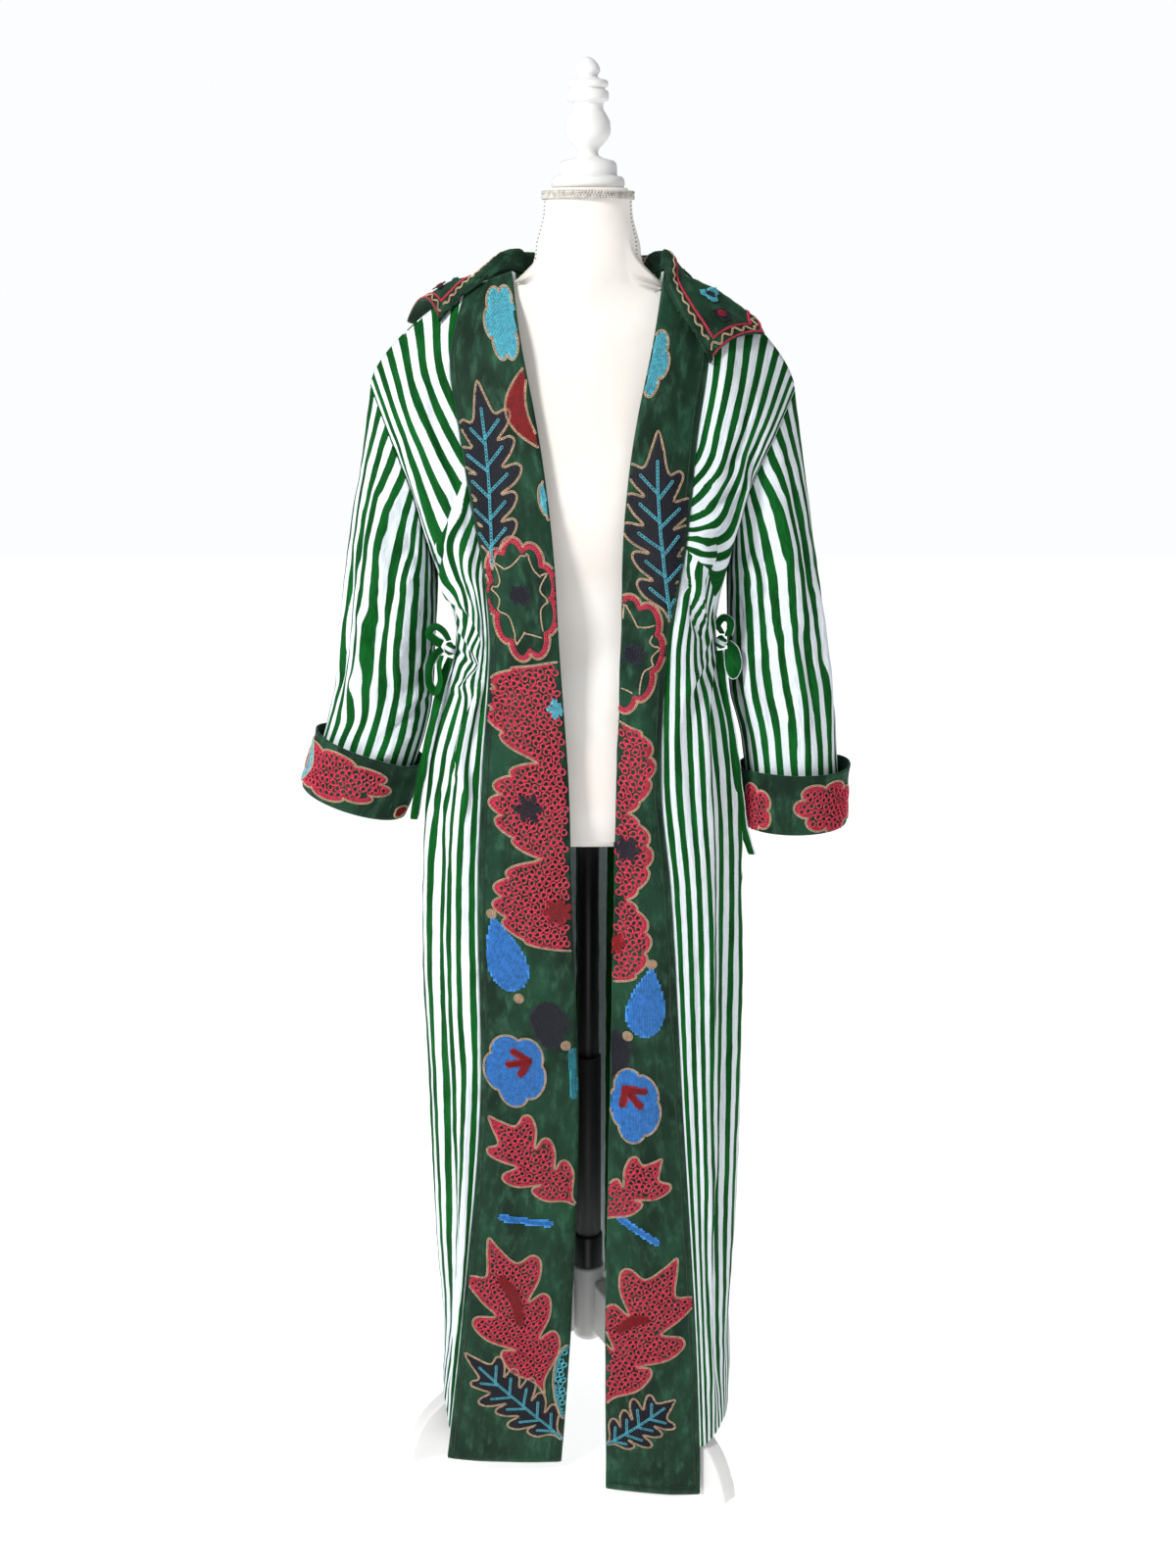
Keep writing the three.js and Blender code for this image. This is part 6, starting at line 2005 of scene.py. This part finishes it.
def collar_border(gap, start):
    """A line that runs round the fall at a distance from its edge and front ends."""
    x = np.arange(gap, COLLAR_LENGTH - gap + 1, 2.0)
    outer = np.stack([x, fall_width(x) - gap], -1)
    ends = []
    for end in (gap, COLLAR_LENGTH - gap):
        y = np.arange(start, fall_width(end) - gap, 2.0)
        ends.append(np.stack([np.full(len(y), end), y], -1))
    return np.vstack([ends[0], outer, ends[1][::-1]])


collar_sewing = Sewing(
    "collar", collar_surface, "collar",
    lambda x, y: (x > 1.0) & (x < COLLAR_LENGTH - 1) & (y > 1.5) & (y < fall_width(x) - 1.2),
)
x = np.arange(17.0, COLLAR_LENGTH - 17, 2.0)
for line in (collar_border(2.6, 3), collar_border(16.5, 13), np.stack([x, 13 + 0 * x], -1)):
    collar_sewing.chain("border", line, "coral", wide=1.9, step=3.2)
fold_wave = np.stack([x, 5.5 + 2.2 * np.sin(x / 15 * 2 * math.pi)], -1)
collar_sewing.chain("border", fold_wave, "cream", wide=1.6, step=3.1)
wave = collar_border(9.6, 4)
run = run_along(wave)
way = unit(np.gradient(wave, axis=0))
sway = 3.4 * np.sin(run / 17 * 2 * math.pi) + 0.8 * np.sin(run / 7.3)
collar_sewing.chain("border", wave + left_of(way) * sway[:, None], "cream", wide=1.5, step=3.1)
for end in (0, 1):
    for i, distance in enumerate((38, 72, 106, 142, 178, 214, 246)):
        x = distance if end == 0 else COLLAR_LENGTH - distance
        middle = (x, fall_width(x) * 0.42)
        size = min(13.0, fall_width(x) * 0.22)
        outer, inner = (("navy", "crimson"), ("aqua", "navy"), ("crimson", "navy"))[i % 3]
        sew(collar_sewing, "star", outer, [middle], size, 3)
        line = star_line(middle, size * 0.42, 3, 0.9)
        raised_fill(collar_sewing, line, inner, 40, (2.5, 1.4), (2.2, 2.8, 0.0), 1.8, 2.8)
collar_sewing.build()

# Cuffs: millimetres round from the outermost point towards the front, and height over the fold.
CUFF_OUTER = float(CUFF_RUN[np.argmax((CUFF_LINE[:, 1] > 2) & (CUFF_LINE[:, 0] > 6))])
CUFF_SHAPES = {}
CUFF_SHAPES["right"] = [
    ("net", "coral", blossom(52, 31, 150, 54, 9, 0.2)),
    ("over", "aqua", crescent(12, 31, 52, 20, 15), 80),
    ("over", "crimson", drop((20, 20), (16, 44), 7), 80),
    ("fill", "crimson", blossom(153, 9, 24, 14, 3, 0.15), 20),
    ("net", "coral", blossom(232, 30, 100, 54, 8, 0.2, 0.5)),
    ("star", "navy", [(232, 26)], 13, 6),
    ("leaf", "navy", [(334, 8), (304, 56)], 18, 3),
]
CUFF_SHAPES["left"] = [
    ("net", "coral", blossom(54, 27, 84, 60, 7, 0.24)),
    ("net", "coral", blossom(142, 25, 46, 54, 5, 0.26)),
    ("fill", "aqua", blossom(2, 9, 24, 14, 3, 0.1), 20),
    ("net", "coral", blossom(236, 29, 88, 56, 7, 0.2)),
    ("star", "crimson", [(234, 26)], 12, 7),
    ("leaf", "navy", [(300, 8), (330, 56)], 18, 3),
]


def cuff_surface(side):
    patch = PATCHES["cuff_" + side]

    def surface(x, y, lift):
        return patch.at((x / CUFF_ROUND) % 1.0, (CUFF_OUTER + y) / CUFF_LENGTH, lift)

    return surface


for side in SIDES:
    top = CUFF_LENGTH - CUFF_OUTER
    whole = lambda x, y: (y > 0.5) & (y < top - 1.5)
    sewing = Sewing("cuff_" + side, cuff_surface(side), "cuff_" + side, whole)
    for kind, thread, points, *more in CUFF_SHAPES[side]:
        if kind == "over":
            raised_fill(sewing, points, thread, more[0], (1.5, 1.6), (2.3, 3.1, 0.6), 1.9, 1.9)
            sewing.chain("outline", points, "cream", closed=True, lift=2.0)
        else:
            sew(sewing, kind, thread, points, *more)
    sewing.build()

# The form's cover: seams down the neck's sides and a braid round its top.
def form_surface(x, y, lift):
    return torso.at(x % 1.0, y, lift)


neck = np.interp([1334, 1432], FORM_MARKS, FORM_SHARES)
form_sewing = Sewing("form_cover", form_surface, "form")
for turn in (0.955, 0.545):
    rows = np.linspace(neck[0], neck[1], 26)
    turns = turn + (0.5 - turn) * 0.1 * np.linspace(1, 0, len(rows))
    for row, u in zip(rows, turns):
        place = torso.at(np.array([u]), np.array([row]), np.array([0.5]))[0]
        ring, out, up, faces = LINK
        rise = up * 0.6 + np.cos(ring) * 0.6
        spot = place + 0.9 * np.stack([np.cos(ring) * (1 + 0.3 * out), np.sin(ring) * 0.5, rise], -1)
        form_sewing.store("seams", spot, faces, "grey")
STRAND = ring_template(180, 6)
BRAID_RADIUS, BRAID_HIGH = 45.3, 1431
for strand in range(3):
    ring, out, up, faces = STRAND
    weave = 30 * ring + strand * 2 * math.pi / 3
    around = BRAID_RADIUS + 0.9 * np.sin(2 * weave) + 1.7 * out
    height = BRAID_HIGH + 3.1 * np.sin(weave) + 1.7 * up
    spot = np.stack([around * np.cos(ring), around * np.sin(ring), height], -1)
    form_sewing.store("braid", spot, faces, "natural")

# ---- hand over to the frame
for piece in stand_pieces:
    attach(piece, "root")
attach(TORSO, "root")
for piece in form_sewing.build():
    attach(piece, "root")
for side in SIDES:
    SEWN["front_" + side] += TIES[side]
    for piece in TIES[side]:
        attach(piece, "root")
for name, (flat, rests, slot) in BODY_SHEETS.items():
    piece = PANELS[name]
    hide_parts(name)
    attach(piece, "root")
    for part in SEWN[name]:
        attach(part, "root")

# ---- floor, camera, light
FLOOR_GLOW = 0.76
FLOOR_SIZE = 7.0  # metres
CAMERA_AWAY, CAMERA_HIGH, CAMERA_TILT = 2.034, 1.37, 74.6  # metres and degrees
SENSOR = 36.0
FOCAL_SHARE = 1950 / 1600  # focal length as a share of the frame's height


def fill_floor(n, bsdf):
    set_inputs(bsdf, Base_Color=(0.9, 0.9, 0.9, 1), Roughness=0.7)
    set_inputs(bsdf, Emission_Color=(1, 1, 1, 1), Emission_Strength=FLOOR_GLOW)


bm = bmesh.new()
bmesh.ops.create_grid(bm, x_segments=1, y_segments=1, size=FLOOR_SIZE)
floor = put("floor", finished(bm, "floor"), [shader("pale_floor", fill_floor)], False)
floor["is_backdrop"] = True

view = bpy.data.cameras.new("view")
view.sensor_fit = "VERTICAL"
view.sensor_width = view.sensor_height = SENSOR
view.lens = FOCAL_SHARE * SENSOR
view.dof.use_dof = False
camera = bpy.data.objects.new("view", view)
camera.location = (POLE[0], POLE[1] - CAMERA_AWAY, CAMERA_HIGH)
camera.rotation_euler = (math.radians(CAMERA_TILT), 0, 0)
bpy.context.scene.collection.objects.link(camera)
bpy.context.scene.camera = camera


def soft_light(name, place, target, size, power):
    lamp = bpy.data.lights.new(name, "AREA")
    lamp.shape = "RECTANGLE"
    lamp.size, lamp.size_y = size
    lamp.energy = power
    made = bpy.data.objects.new(name, lamp)
    made.location = place
    made.rotation_euler = (Vector(target) - Vector(place)).to_track_quat("-Z", "Y").to_euler()
    bpy.context.scene.collection.objects.link(made)


soft_light("key", (-1.7, -1.9, 2.8), (0, 0, 0.9), (0.6, 0.6), 80)
soft_light("fill", (2.2, -1.6, 1.6), (0, 0, 0.8), (1.6, 2.0), 4)

world = bpy.data.worlds.new("studio")
bpy.context.scene.world = world
world.use_nodes = True
tree = world.node_tree
tree.nodes["Background"].inputs["Color"].default_value = (0.97, 0.985, 1.0, 1)
rays = tree.nodes.new("ShaderNodeLightPath")
strength = tree.nodes.new("ShaderNodeMapRange")
strength.inputs["To Min"].default_value = 0.33  # what lights the coat
strength.inputs["To Max"].default_value = 1.0  # what is seen behind it
tree.links.new(rays.outputs["Is Camera Ray"], strength.inputs["Value"])
tree.links.new(strength.outputs["Result"], tree.nodes["Background"].inputs["Strength"])
bpy.context.scene.view_settings.view_transform = "Standard"

low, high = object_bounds()
